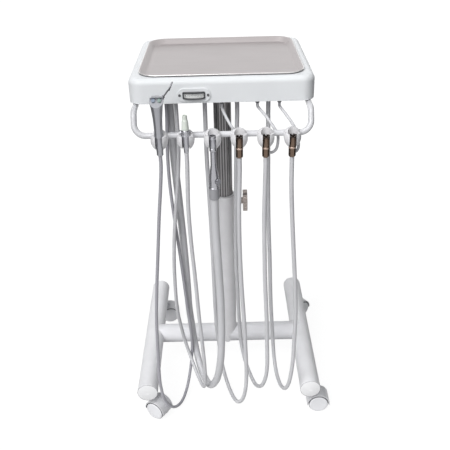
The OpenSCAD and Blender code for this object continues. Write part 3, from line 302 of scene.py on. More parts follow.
class Palette:
    """Every finish of the unit by the part that wears it."""

    LEG = Finish("leg_paint", (240, 240, 242), 0.5, specular=0.3, bump_mm=0.02, grain_mm=1.6)
    CROSS = Finish("cross_tube_paint", (234, 234, 237), 0.6, specular=0.15, bump_mm=0.02,
                   grain_mm=1.6)
    COLUMN = Finish("column_coat", (240, 239, 241), 0.46, bump_mm=0.02,
                    grain_mm=1.6, edge_mm=0.5)
    CAP = Finish("cap_plastic", (247, 247, 248), 0.4, edge_mm=0.8)
    BUSH = Finish("bush_plastic", (198, 198, 200), 0.45, edge_mm=0.5)
    STEEL = Finish("satin_steel", (150, 148, 149), 0.3, metallic=1.0, grain=Grain.TURNED,
                   bump_mm=0.006, edge_mm=0.4)
    KNOB = Finish("knob_metal", (164, 155, 150), 0.32, metallic=0.8, grain=Grain.TURNED,
                  bump_mm=0.008, edge_mm=0.6)
    HOOD = Finish("hood_plastic", (220, 220, 223), 0.3, coat=0.05, edge_mm=0.8)
    # Painted shade: dark colour on the inside faces of each hood, round the wheels.
    HOOD_SHADE = Finish("hood_inside_painted_shade", (70, 70, 73), 0.7)
    WHEEL = Finish("wheel_plastic", (240, 240, 243), 0.4, edge_mm=0.6)
    TREAD = Finish("wheel_tread", (128, 128, 132), 0.6)
    SEAM = Finish("seam_shadow", (96, 96, 99), 0.7)
    MAST = FlutedFinish("mast_anodised", (158, 156, 157), 0.3, metallic=0.6,
                        grain=Grain.BRUSHED_Z, grain_mm=0.6, bump_mm=0.01, mottle=0.08)
    # Dark plastic of several parts, also worn by the band under the tray's rim as painted
    # shadow.
    DARK = Finish("dark_plastic_and_rim_shadow", (58, 59, 62), 0.5, edge_mm=0.4)
    BASE = Finish("base_plate_paint", (190, 190, 193), 0.45, bump_mm=0.02)
    SHELL = Finish("shell_plastic", (234, 236, 238), 0.4, specular=0.3, bump_mm=0.006,
                   grain_mm=0.7, edge_mm=0.9, mottle=0.015)
    SCREW = Finish("screw_steel", (92, 92, 95), 0.35, metallic=0.9, edge_mm=0.2)
    BLOCK = Finish("machined_block", (186, 188, 194), 0.35, metallic=1.0,
                   grain=Grain.BRUSHED_X, edge_mm=0.5)
    GLAND = Finish("gland_plastic", (112, 112, 116), 0.5, edge_mm=0.4)
    BAR = Finish("bar_paint", (214, 214, 217), 0.25, coat=0.1, bump_mm=0.012)
    BEZEL = Finish("bezel_plastic", (58, 60, 63), 0.35, edge_mm=0.4)
    DIAL = Finish("dial_card", (240, 240, 238), 0.6)
    INK = Finish("dial_ink", (34, 34, 36), 0.6)
    NEEDLE = Finish("needle_black", (22, 22, 24), 0.4)
    TRAY = Finish("tray_steel", (182, 176, 176), 0.32, metallic=0.55, grain=Grain.BRUSHED_X,
                  grain_mm=0.5, bump_mm=0.0015, rough_spread=0.04, mottle=0.02)
    # Painted highlight: a lighter copy of the tray's steel, worn by the rolled bead for a bright
    # rim.
    TRAY_RIM_HIGHLIGHT = Finish("tray_rim_painted_highlight", (230, 227, 226), 0.2, metallic=0.6, bump_mm=0.001)
    HOLDER = Finish("holder_plastic", (228, 227, 229), 0.28, coat=0.05, edge_mm=0.9)
    SYRINGE = Finish("syringe_satin", (164, 165, 170), 0.3, metallic=0.7, bump_mm=0.001,
                     rough_spread=0.02, mottle=0.01, edge_mm=0.5)
    CHROME = Finish("valve_chrome", (174, 174, 179), 0.24, metallic=0.75, bump_mm=0.001,
                    rough_spread=0.03, mottle=0.01, edge_mm=0.4)
    TIP = Finish("syringe_tip_steel", (128, 128, 132), 0.16, metallic=1.0, bump_mm=0.001)
    BLUE = Finish("button_blue", (140, 150, 166), 0.3, edge_mm=0.5)
    GREEN = Finish("button_green", (142, 160, 154), 0.3, edge_mm=0.5)
    EJECTOR = Finish("ejector_plastic", (222, 228, 220), 0.35, edge_mm=0.4)
    CUFF = Finish("cuff_rubber", (158, 158, 162), 0.6, bump_mm=0.03, edge_mm=0.6)
    BRONZE_RING = Finish("connector_ring", (184, 162, 149), 0.25, metallic=0.7, bump_mm=0.002)
    BRONZE_DARK = Finish("connector_mouth", (64, 53, 46), 0.3, metallic=0.9, bump_mm=0.002)
    BRONZE = Finish("connector_bronze", (112, 95, 83), 0.24, metallic=1.0,
                    grain=Grain.TURNED, bump_mm=0.004, edge_mm=0.3)
    HOSE = Finish("hose_rubber", (206, 206, 209), 0.36, bump_mm=0.03, grain_mm=1.2,
                  mottle=0.03)
    HOSE_THIN = Finish("hose_thin_rubber", (168, 167, 174), 0.34, bump_mm=0.03, grain_mm=1.2,
                       mottle=0.03)
    SIGNAL = Finish("signal_rubber", (212, 212, 215), 0.4, specular=0.35)


def dress(nodes: Iterable[str], finish: Finish | ClearPane) -> None:
    """Gives CAD nodes a finish.

    Args:
        nodes: names of the nodes.
        finish: what they wear.
    """
    for name in nodes:
        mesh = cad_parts[name].data
        mesh.materials.clear()
        mesh.materials.append(finish.make())
        LOG.info("%s wears %s", name, finish.name)


def tint(name: str, finish: Finish, measure: Callable[[Vector], float],
         span: tuple[float, float]) -> None:
    """Gives the faces of a CAD node that lie within a span another finish.

    Args:
        name: the node's name.
        finish: what those faces wear.
        measure: height or radius of a point, in metres.
        span: least and greatest measure of such a face's corners, in millimetres.
    """
    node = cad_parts[name]
    mesh = node.data
    mesh.materials.append(finish.make())
    measures = [measure(node.matrix_world @ vertex.co) / MM for vertex in mesh.vertices]
    for face in mesh.polygons:
        reach = [measures[v] for v in face.vertices]
        if min(reach) >= span[0] and max(reach) <= span[1]:
            face.material_index = len(mesh.materials) - 1


# ---------------------------------------------------------------- mesh tools


def add_mesh(name: str, mesh: bmesh.types.BMesh, finishes: Sequence[Finish], body: str,
             replaces: Sequence[str] = (), smooth_deg: float = 35.0) -> None:
    """Turns a finished bmesh into a piece of the object.

    Args:
        name: the piece's name.
        mesh: its geometry in the model's frame, freed afterwards.
        finishes: its materials, in slot order.
        body: the CAD body that it rides on.
        replaces: CAD nodes that it stands for.
        smooth_deg: edges that turn less than this are shaded smooth.
    """
    limit = math.radians(smooth_deg)
    bmesh.ops.recalc_face_normals(mesh, faces=mesh.faces[:])
    for edge in mesh.edges:
        edge.smooth = len(edge.link_faces) == 2 and edge.calc_face_angle(0) < limit
    for face in mesh.faces:
        face.smooth = True
    data = bpy.data.meshes.new(name)
    mesh.to_mesh(data)
    mesh.free()
    for finish in finishes:
        data.materials.append(finish.make())
    piece = bpy.data.objects.new(name, data)
    bpy.context.scene.collection.objects.link(piece)
    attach(piece, body)
    if replaces:
        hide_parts(*replaces)
    LOG.info("made %s on %s", name, body)


def ring_of(mesh: bmesh.types.BMesh, points: Iterable[Vector]) -> list[bmesh.types.BMVert]:
    """Vertices at the points, in order."""
    return [mesh.verts.new(p) for p in points]


def bridge(mesh: bmesh.types.BMesh, a: Sequence[bmesh.types.BMVert],
           b: Sequence[bmesh.types.BMVert], material: int = 0) -> None:
    """Joins two closed rings of as many vertices with quads.

    Args:
        mesh: the mesh that holds them.
        a: the first ring.
        b: the second ring.
        material: the quads' material slot.
    """
    for i in range(len(a)):
        j = (i + 1) % len(a)
        mesh.faces.new((a[i], a[j], b[j], b[i])).material_index = material


def rounded_rect(half_w: float, half_d: float, corner: float, steps: int = 12
                 ) -> list[tuple[float, float]]:
    """Outline of a rectangle with round corners, counter-clockwise.

    Args:
        half_w: half the width.
        half_d: half the depth.
        corner: corner radius.
        steps: segments in each corner.

    Returns:
        The points.
    """
    points = []
    for k, (sx, sy) in enumerate(((1, 1), (-1, 1), (-1, -1), (1, -1))):
        for i in range(steps + 1):
            a = math.radians(90 * (k + i / steps))
            points.append((sx * (half_w - corner) + corner * math.cos(a),
                           sy * (half_d - corner) + corner * math.sin(a)))
    return points


def spline(points: Sequence[Point], step: float) -> list[Vector]:
    """Smooth line through points, in millimetres.

    Args:
        points: the points of the route.
        step: distance between samples.

    Returns:
        The samples, from the first point to the last.
    """
    p = [Vector(q) for q in points]
    p = [2 * p[0] - p[1], *p, 2 * p[-1] - p[-2]]
    line = []
    for a, b, c, d in zip(p, p[1:], p[2:], p[3:]):
        count = max(1, round((c - b).length / step))
        for k in range(count):
            t = k / count
            line.append(0.5 * (2 * b + (c - a) * t + (2 * a - 5 * b + 4 * c - d) * t * t
                               + (3 * b - a - 3 * c + d) * t ** 3))
    line.append(p[-2])
    return line


# ---------------------------------------------------------------- studio


@dataclass
class Studio:
    """Camera at the photographed angle, soft light, dark flags and a pale floor."""

    camera_at: Point = (0.0, -1449.0, 1250.5)
    camera_clip: tuple[float, float] = (0.05, 50.0)
    pitch_deg: float = 29.2
    roll_deg: float = 1.4
    focal_px: float = 644.4
    image_px: float = 450.0
    sensor_mm: float = 36.0
    key_from: Point = (-0.42, -0.58, 0.70)
    key_spread_deg: float = 50.0
    key_power: float = 2.6
    air_rgb: Point = (0.97, 0.985, 1.0)
    air_power: float = 0.24
    zenith_power: float = 0.56
    horizon_z: float = 0.1
    zenith_z: float = 0.6
    bounce: float = 0.42
    floor_half: float = 9.0
    floor_drop: float = 0.0005
    floor_glow: float = 0.9
    floor_keeps: float = 0.17
    flag_x: float = 1.1
    flag_half_y: float = 0.9
    flag_top: float = 2.1
    flag_rgb: Point = (0.02, 0.02, 0.022)
    flag_rough: float = 0.9

    def build(self) -> None:
        """Makes the camera, the light, the world, the flags and the floor."""
        bpy.context.scene.view_settings.view_transform = "Standard"
        self._camera()
        self._world()
        self._key()
        self._floor()
        for side in (-1, 1):
            self._flag(side)

    def _camera(self) -> None:
        """Camera with the photograph's place, tilt, roll and field of view."""
        pitch, roll = math.radians(self.pitch_deg), math.radians(self.roll_deg)
        ahead = Vector((0, math.cos(pitch), -math.sin(pitch)))
        side = Vector((1, 0, 0))
        down = ahead.cross(side)
        right = math.cos(roll) * side + math.sin(roll) * down
        up = math.sin(roll) * side - math.cos(roll) * down
        data = bpy.data.cameras.new("camera")
        data.sensor_width = self.sensor_mm
        data.lens = self.focal_px / self.image_px * self.sensor_mm
        data.clip_start, data.clip_end = self.camera_clip
        camera = bpy.data.objects.new("camera", data)
        bpy.context.scene.collection.objects.link(camera)
        turn = Matrix((right, up, -ahead)).transposed().to_4x4()
        camera.matrix_world = Matrix.Translation(at_post(*self.camera_at)) @ turn
        bpy.context.scene.camera = camera

    @staticmethod
    def _seen(tree: bpy.types.NodeTree) -> bpy.types.NodeSocket:
        """1 for rays from the eye, straight, mirrored or through a pane, and 0 for others.

        Args:
            tree: node tree of the world or of the floor.

        Returns:
            The socket with that value.
        """
        path = tree.nodes.new("ShaderNodeLightPath")
        seen = path.outputs["Is Camera Ray"]
        for kind in ("Is Glossy Ray", "Is Transmission Ray"):
            most = tree.nodes.new("ShaderNodeMath")
            most.operation = "MAXIMUM"
            tree.links.new(seen, most.inputs[0])
            tree.links.new(path.outputs[kind], most.inputs[1])
            seen = most.outputs[0]
        return seen

    def _world(self) -> None:
        """White to the eye and in reflections, softer as light on the unit."""
        world = bpy.data.worlds.new("studio_air")
        bpy.context.scene.world = world
        world.use_nodes = True
        tree = world.node_tree
        tree.nodes.clear()
        out = tree.nodes.new("ShaderNodeOutputWorld")
        mix = tree.nodes.new("ShaderNodeMixShader")
        air, white = (tree.nodes.new("ShaderNodeBackground") for _ in range(2))
        air.inputs["Color"].default_value = (*self.air_rgb, 1)
        white.inputs["Color"].default_value = (1, 1, 1, 1)
        tree.links.new(self._rise(tree), air.inputs["Strength"])
        tree.links.new(self._seen(tree), mix.inputs["Fac"])
        tree.links.new(air.outputs[0], mix.inputs[1])
        tree.links.new(white.outputs[0], mix.inputs[2])
        tree.links.new(mix.outputs[0], out.inputs["Surface"])

    def _rise(self, tree: bpy.types.NodeTree) -> bpy.types.NodeSocket:
        """Strength of the air, which grows from the horizon to the ceiling.

        Args:
            tree: the world's node tree.

        Returns:
            The socket with the strength.
        """
        place = tree.nodes.new("ShaderNodeTexCoord")
        parts = tree.nodes.new("ShaderNodeSeparateXYZ")
        rise = tree.nodes.new("ShaderNodeMapRange")
        rise.interpolation_type = "SMOOTHSTEP"
        for name, value in (("From Min", self.horizon_z), ("From Max", self.zenith_z),
                            ("To Min", self.air_power), ("To Max", self.zenith_power)):
            rise.inputs[name].default_value = value
        tree.links.new(place.outputs["Generated"], parts.inputs[0])
        tree.links.new(parts.outputs["Z"], rise.inputs["Value"])
        return rise.outputs["Result"]

    def _key(self) -> None:
        """One broad even light from the front, left and above."""
        data = bpy.data.lights.new("key", "SUN")
        data.energy = self.key_power
        data.angle = math.radians(self.key_spread_deg)
        lamp = bpy.data.objects.new("key", data)
        lamp.rotation_euler = (-Vector(self.key_from)).to_track_quat("-Z", "Y").to_euler()
        bpy.context.scene.collection.objects.link(lamp)

    def _floor(self) -> None:
        """White floor that keeps a faint shadow."""
        h, low = self.floor_half, -self.floor_drop
        floor = self._sheet("floor", [(-h, -h, low), (h, -h, low), (h, h, low), (-h, h, low)])
        mat = bpy.data.materials.new("floor_white")
        mat.use_nodes = True
        tree = mat.node_tree
        tree.nodes.clear()
        out = tree.nodes.new("ShaderNodeOutputMaterial")
        glow = tree.nodes.new("ShaderNodeEmission")
        glow.inputs["Strength"].default_value = self.floor_glow
        keeps, plain = (tree.nodes.new("ShaderNodeBsdfDiffuse") for _ in range(2))
        keeps.inputs["Color"].default_value = (*[self.floor_keeps] * 3, 1)
        plain.inputs["Color"].default_value = (*[self.bounce] * 3, 1)
        both = tree.nodes.new("ShaderNodeAddShader")
        mix = tree.nodes.new("ShaderNodeMixShader")
        tree.links.new(glow.outputs[0], both.inputs[0])
        tree.links.new(keeps.outputs[0], both.inputs[1])
        tree.links.new(self._seen(tree), mix.inputs["Fac"])
        tree.links.new(plain.outputs[0], mix.inputs[1])
        tree.links.new(both.outputs[0], mix.inputs[2])
        tree.links.new(mix.outputs[0], out.inputs["Surface"])
        floor.data.materials.append(mat)

    def _flag(self, side: int) -> None:
        """Dark flag beside the unit, seen only as a dark line along shiny edges.

        Args:
            side: -1 for the left and 1 for the right.
        """
        x, y, top = side * self.flag_x, self.flag_half_y, self.flag_top
        flag = self._sheet(f"flag_{'left' if side < 0 else 'right'}",
                           [(x, -y, 0), (x, y, 0), (x, y, top), (x, -y, top)])
        mat = bpy.data.materials.new("flag_black")
        mat.use_nodes = True
        shader = mat.node_tree.nodes["Principled BSDF"]
        shader.inputs["Base Color"].default_value = (*self.flag_rgb, 1)
        shader.inputs["Roughness"].default_value = self.flag_rough
        flag.data.materials.append(mat)
        flag.visible_camera = False
        flag.visible_shadow = False
        flag.visible_transmission = False

    @staticmethod
    def _sheet(name: str, corners: Sequence[Point]) -> bpy.types.Object:
        """Four-cornered sheet of the studio, which isn't part of the unit.

        Args:
            name: the sheet's name.
            corners: its corners in order, in metres.

        Returns:
            The new object.
        """
        mesh = bpy.data.meshes.new(name)
        mesh.from_pydata(corners, [], [(0, 1, 2, 3)])
        sheet = bpy.data.objects.new(name, mesh)
        bpy.context.scene.collection.objects.link(sheet)
        return sheet


# ---------------------------------------------------------------- hoses


@dataclass
class Hose:
    """One free hose from its gland, down and round, to the foot of its tool."""

    name: str
    diameter: float
    route: Sequence[Point]
    finish: Finish = Palette.HOSE
    sample: float = 6.0
    round_steps: int = 6

    def build(self) -> None:
        """Makes the hose as a curve that replaces its plain solid."""
        line = [at_post(*p) for p in spline(self.route, self.sample)]
        data = bpy.data.curves.new(self.name + "_line", "CURVE")
        data.dimensions = "3D"
        data.bevel_depth = self.diameter / 2 * MM
        data.bevel_resolution = self.round_steps
        data.use_fill_caps = True
        track = data.splines.new("POLY")
        track.points.add(len(line) - 1)
        for point, place in zip(track.points, line):
            point.co = (*place, 1)
        track.use_smooth = True
        data.materials.append(self.finish.make())
        piece = bpy.data.objects.new(self.name + "_tube", data)
        bpy.context.scene.collection.objects.link(piece)
        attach(piece, "head")
        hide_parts(self.name)


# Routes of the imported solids, from gland to tool, in millimetres from the post
HOSES = (
    Hose("hose_syringe", 7.6, (
        (-120, -116, 813), (-120, -116, 780), (-124, -116, 700), (-124, -116, 620),
        (-119, -116, 530), (-112, -116, 440), (-106, -116, 350), (-101, -115, 270),
        (-96, -112, 210), (-95, -105, 160), (-97, -102, 110), (-103, -112, 60),
        (-113, -145, 22), (-127, -186, 11), (-145, -222, 30), (-163, -237, 70),
        (-170, -238, 115), (-171, -237, 165), (-169, -236, 240), (-166, -236, 320),
        (-159, -236, 410), (-150, -236, 500), (-140.5, -236, 595), (-132, -236, 670),
        (-128.2, -236, 712), (-128, -236, 737)), Palette.HOSE_THIN),
    Hose("hose_ejector", 8.8, (
        (-98, -128, 813), (-98, -128, 780), (-98, -128, 710), (-104, -128, 630),
        (-113, -128, 555), (-121, -128, 480), (-126, -128, 400), (-127, -128, 320),
        (-126, -123, 265), (-122, -113, 215), (-115, -105, 160), (-105, -108, 117),
        (-92, -127, 85), (-77, -162, 67), (-66, -194, 72), (-60, -220, 105),
        (-58, -234, 150), (-59, -238, 200), (-62, -237, 260), (-66, -236, 330),
        (-70, -236, 430), (-75, -236, 530), (-77, -236, 615), (-75.4, -236, 680),
        (-74.4, -236, 717), (-74.4, -236, 743))),
    Hose("hose_hve", 18.0, (
        (-114, -98, 813), (-114, -98, 770), (-112, -98, 680), (-107, -98, 570),
        (-102, -98, 450), (-99, -98, 340), (-98, -97, 260), (-95, -90, 205),
        (-91, -85, 146), (-83, -98, 95), (-71, -130, 67), (-55, -175, 66),
        (-42, -206, 89), (-28, -230, 135), (-19, -238, 195), (-15, -238, 260),
        (-14, -236, 330), (-15, -236, 400), (-18, -236, 490), (-20.4, -236, 565),
        (-20.8, -236, 606), (-20.8, -236, 638))),
    Hose("hose_tool_1", 9.6, (
        (-37, -120, 813), (-37, -120, 780), (-37, -120, 680), (-34, -120, 560),
        (-32, -120, 460), (-31, -120, 370), (-30, -119, 275), (-28, -112, 200),
        (-24, -102, 140), (-20, -101, 90), (-12, -114, 46), (1, -145, 17),
        (16, -187, 15), (30, -220, 43), (40, -237, 90), (44, -238, 150),
        (42, -237, 240), (39, -236, 320), (34, -236, 420), (31, -236, 520),
        (30.5, -236, 600), (32, -236, 665), (32.8, -236, 703), (32.8, -236, 730))),
    Hose("hose_tool_2", 9.6, (
        (32, -120, 813), (32, -120, 780), (29, -120, 690), (27, -120, 600),
        (25, -120, 500), (25, -120, 400), (28, -120, 305), (30, -113, 240),
        (33, -104, 180), (36, -104, 135), (44, -118, 95), (56, -146, 70),
        (69, -184, 66), (81, -214, 87), (90, -233, 125), (95, -238, 175),
        (94, -237, 250), (92, -236, 330), (88, -236, 420), (86, -236, 500),
        (84.6, -236, 590), (85.6, -236, 660), (86.4, -236, 702), (86.4, -236, 730))),
    Hose("hose_tool_3", 9.6, (
        (99, -120, 813), (99, -120, 780), (100, -120, 690), (101, -120, 600),
        (103, -120, 510), (107, -120, 410), (110, -120, 310), (114, -112, 235),
        (118, -101, 175), (121, -99, 126), (124, -112, 85), (129, -143, 59),
        (136, -181, 57), (144, -213, 77), (151, -234, 118), (157, -238, 180),
        (159, -237, 250), (160, -236, 320), (157, -236, 400), (151, -236, 490),
        (145, -236, 580), (141, -236, 655), (140, -236, 702), (140, -236, 730))),
)


@dataclass
class SignalTubes:
    """Three thin tubes held between the head and the holders."""

    diameter: float = 6.0
    sides: int = 16
    sample: float = 3.0
    smooth_deg: float = 60.0
    routes: Sequence[Sequence[Point]] = (
        ((-1, -150, 816), (-1, -150, 812), (-1, -150, 808), (6, -180, 800),
         (16, -199, 786), (25, -200, 772), (32, -203, 757), (36, -210, 744),
         (36.5, -217, 738), (35.8, -223, 741), (35.8, -223, 745), (35.8, -223, 749)),
        ((74, -150, 816), (74, -150, 812), (74, -150, 808), (89, -183, 798),
         (104, -199, 780), (113, -202, 763), (113, -208, 748), (109, -215, 737),
         (101, -219, 732), (93, -222, 734), (89.4, -223, 741), (89.4, -223, 745),
         (89.4, -223, 749)),
        ((120, -150, 816), (120, -150, 812), (120, -150, 808), (131, -183, 800),
         (144, -199, 784), (153, -201, 766), (155.5, -207, 751), (155, -214, 739),
         (150, -219, 733), (144.5, -222, 735), (143, -223, 741), (143, -223, 745),
         (143, -223, 749)),
    )

    def build(self) -> None:
        """Makes the three tubes as one piece."""
        mesh = bmesh.new()
        for route in self.routes:
            self._tube(mesh, spline(route, self.sample))
        add_mesh("signal_hoses", mesh, [Palette.SIGNAL], "head",
                 ["signal_tubes"], self.smooth_deg)

    def _tube(self, mesh: bmesh.types.BMesh, line: Sequence[Vector]) -> None:
        """Sweeps one closed tube along a line.

        Args:
            mesh: the mesh that takes it.
            line: points along its middle, in millimetres.
        """
        rings = []
        side = Vector((0, 1, 0))
        for i, place in enumerate(line):
            ahead = (line[min(i + 1, len(line) - 1)] - line[max(i - 1, 0)]).normalized()
            side = (side - side.dot(ahead) * ahead).normalized()
            over = ahead.cross(side)
            rings.append(ring_of(mesh, (
                at_post(*(place + self.diameter / 2 * (math.cos(a) * side + math.sin(a) * over)))
                for a in (math.tau * k / self.sides for k in range(self.sides)))))
        for a, b in zip(rings, rings[1:]):
            bridge(mesh, a, b)
        mesh.faces.new(rings[0])
        mesh.faces.new(rings[-1])


# ---------------------------------------------------------------- sub-assemblies


@dataclass(frozen=True)
class Caster:
    """One caster: its corner, its stem's place and the way that it is turned."""

    corner: str
    x: float
    y: float
    yaw_deg: float


@dataclass
class CasterBase:
    """H-shaped tube base on four casters."""

    trail: float = 26.0
    axle_z: float = 25.0
    well_r: float = 26.6
    tread_r: float = 23.4
    leg_x: float = 205.0
    leg_z: float = 94.5
    leg_ends: tuple[float, float] = (-237.0, 228.0)
    seam_r: float = 25.05
    seam_half: float = 0.35
    seam_steps: int = 64
    casters: tuple[Caster, ...] = (
        Caster("fl", -205.0, -200.0, -32.0), Caster("fr", 205.0, -200.0, 0.0),
        Caster("rl", -205.0, 191.0, 6.0), Caster("rr", 205.0, 191.0, 35.0))

    def build(self) -> None:
        """Dresses the tubes, caps, hoods and wheels and draws the caps' seams."""
        dress(["leg_left", "leg_right"], Palette.LEG)
        dress(["cross_tube"], Palette.CROSS)
        dress(["leg_caps"], Palette.CAP)
        dress(["caster_stems"], Palette.STEEL)
        for caster in self.casters:
            self._dress(caster)
        self._seams()

    def _dress(self, caster: Caster) -> None:
        """Dresses one hood and its wheels, with painted shade inside the hood and a darker
        tread.

        Args:
            caster: the caster.
        """
        a = math.radians(caster.yaw_deg)
        hub = at_post(caster.x + self.trail * math.cos(a), caster.y + self.trail * math.sin(a),
                      self.axle_z)
        axle = Vector((-math.sin(a), math.cos(a), 0))

        def radius(point: Vector) -> float:
            """Distance of a point from the axle."""
            arm = point - hub
            return (arm - arm.dot(axle) * axle).length

        hood, wheels = "hood_" + caster.corner, "wheels_" + caster.corner
        dress([hood], Palette.HOOD)
        # The hood's faces near the axle get painted shade.
        tint(hood, Palette.HOOD_SHADE, radius, (0.0, self.well_r))
        dress([wheels], Palette.WHEEL)
        tint(wheels, Palette.TREAD, radius, (self.tread_r, self.well_r))

    def _seams(self) -> None:
        """Fine dark joint between each leg and its cap."""
        mesh = bmesh.new()
        for x in (-self.leg_x, self.leg_x):
            for y in self.leg_ends:
                rings = []
                for k in range(self.seam_steps):
                    a = math.tau * k / self.seam_steps
                    rings.append(ring_of(mesh, (
                        at_post(x + r * math.cos(a), y + dy, self.leg_z + r * math.sin(a))
                        for r, dy in ((self.seam_r + self.seam_half, 0),
                                      (self.seam_r, self.seam_half),
                                      (self.seam_r - self.seam_half, 0),
                                      (self.seam_r, -self.seam_half)))))
                for a, b in zip(rings, rings[1:] + rings[:1]):
                    bridge(mesh, a, b)
        add_mesh("cap_seams", mesh, [Palette.SEAM], "base")


@dataclass
class TelescopePost:
    """Column, guide bush, sliding mast and clamping knob."""

    def build(self) -> None:
        """Dresses the post's pieces."""
        dress(["column_tube", "clamp_boss"], Palette.COLUMN)
        dress(["guide_bush"], Palette.BUSH)
        dress(["mast_tube"], Palette.MAST)
        dress(["mast_foot"], Palette.DARK)
        dress(["mast_flange"], Palette.STEEL)
        dress(["clamp_screw"], Palette.KNOB)


@dataclass
class ControlHead:
    """White housing on its base plate, with what hangs from the plate."""

    def build(self) -> None:
        """Dresses the head's pieces."""
        dress(["head_shell"], Palette.SHELL)
        dress(["head_base"], Palette.BASE)
        dress(["head_screws"], Palette.SCREW)
        dress(["control_block"], Palette.BLOCK)
        dress(["supply_inlet"], Palette.DARK)
        dress(["hose_glands", "bar_sockets"], Palette.GLAND)


@dataclass
class Tray:
    """Stainless tray with a rolled rim, lying in the recess of the head."""

    half_w: float = 173.0
    half_d: float = 160.0
    corner: float = 40.0
    middle_y: float = 2.0
    floor_z: float = 868.0
    rim_z: float = 880.5
    bead_r: float = 1.4
    # Section of the band of painted shadow under the rim: pairs of inset and height.
    rim_shadow_band: tuple[tuple[float, float], ...] = ((1.0, 8.15), (3.6, 8.15), (3.6, 10.4), (1.0, 10.4))
    bead_steps: int = 12
    bead_from_deg: float = -60.0
    bead_sweep_deg: float = 240.0
    smooth_deg: float = 50.0
    under: tuple[tuple[float, float], ...] = ((17.0, 0.0), (14.0, 0.1), (12.3, 0.6),
                                              (11.0, 1.8), (4.9, 8.9))
    inside: tuple[tuple[float, float], ...] = ((5.4, 10.2), (12.0, 2.6), (13.4, 1.6),
                                               (15.0, 1.25), (18.0, 1.2))

    def build(self) -> None:
        """Makes the tray as one closed sheet with a bead round its edge."""
        mesh = bmesh.new()
        section = self._section()
        rings = [self._ring(mesh, inset, z) for inset, z in section]
        first, last = len(self.under), len(section) - len(self.inside)
        for k, (a, b) in enumerate(zip(rings, rings[1:])):
            # Slot 1, on the bead, carries the rim's painted highlight.
            bridge(mesh, a, b, 1 if first <= k < last - 1 else 0)
        mesh.faces.new(rings[0])
        mesh.faces.new(rings[-1])
        add_mesh("instrument_tray", mesh, [Palette.TRAY, Palette.TRAY_RIM_HIGHLIGHT], "tray",
                 ["tray"], self.smooth_deg)
        self._paint_rim_shadow()

    def _paint_rim_shadow(self) -> None:
        """Painted shadow under the rim: a dark band just above the head."""
        mesh = bmesh.new()
        rings = [self._ring(mesh, inset, self.floor_z + z) for inset, z in self.rim_shadow_band]
        for a, b in zip(rings, rings[1:] + rings[:1]):
            bridge(mesh, a, b)
        add_mesh("tray_rim_painted_shadow", mesh, [Palette.DARK], "tray")

    def _section(self) -> list[tuple[float, float]]:
        """Section from under the floor round the bead to the floor's upper face.

        Returns:
            Pairs of the inset from the rim's edge and the height, in millimetres.
        """
        section = [(inset, self.floor_z + z) for inset, z in self.under]
        for k in range(self.bead_steps + 1):
            a = math.radians(self.bead_from_deg - self.bead_sweep_deg * k / self.bead_steps)
            section.append((self.bead_r * (1 + math.cos(a)),
                            self.rim_z + self.bead_r * (math.sin(a) - 1)))
        section += [(inset, self.floor_z + z) for inset, z in self.inside]
        return section

    def _ring(self, mesh: bmesh.types.BMesh, inset: float, z: float
              ) -> list[bmesh.types.BMVert]:
        """Ring of vertices that follows the rim's outline.

        Args:
            mesh: the mesh that takes them.
            inset: distance inwards from the rim's edge.
            z: height above the floor.

        Returns:
            The vertices in order.
        """
        outline = rounded_rect(self.half_w - inset, self.half_d - inset, self.corner - inset)
        return ring_of(mesh, (at_post(x, y + self.middle_y, z) for x, y in outline))


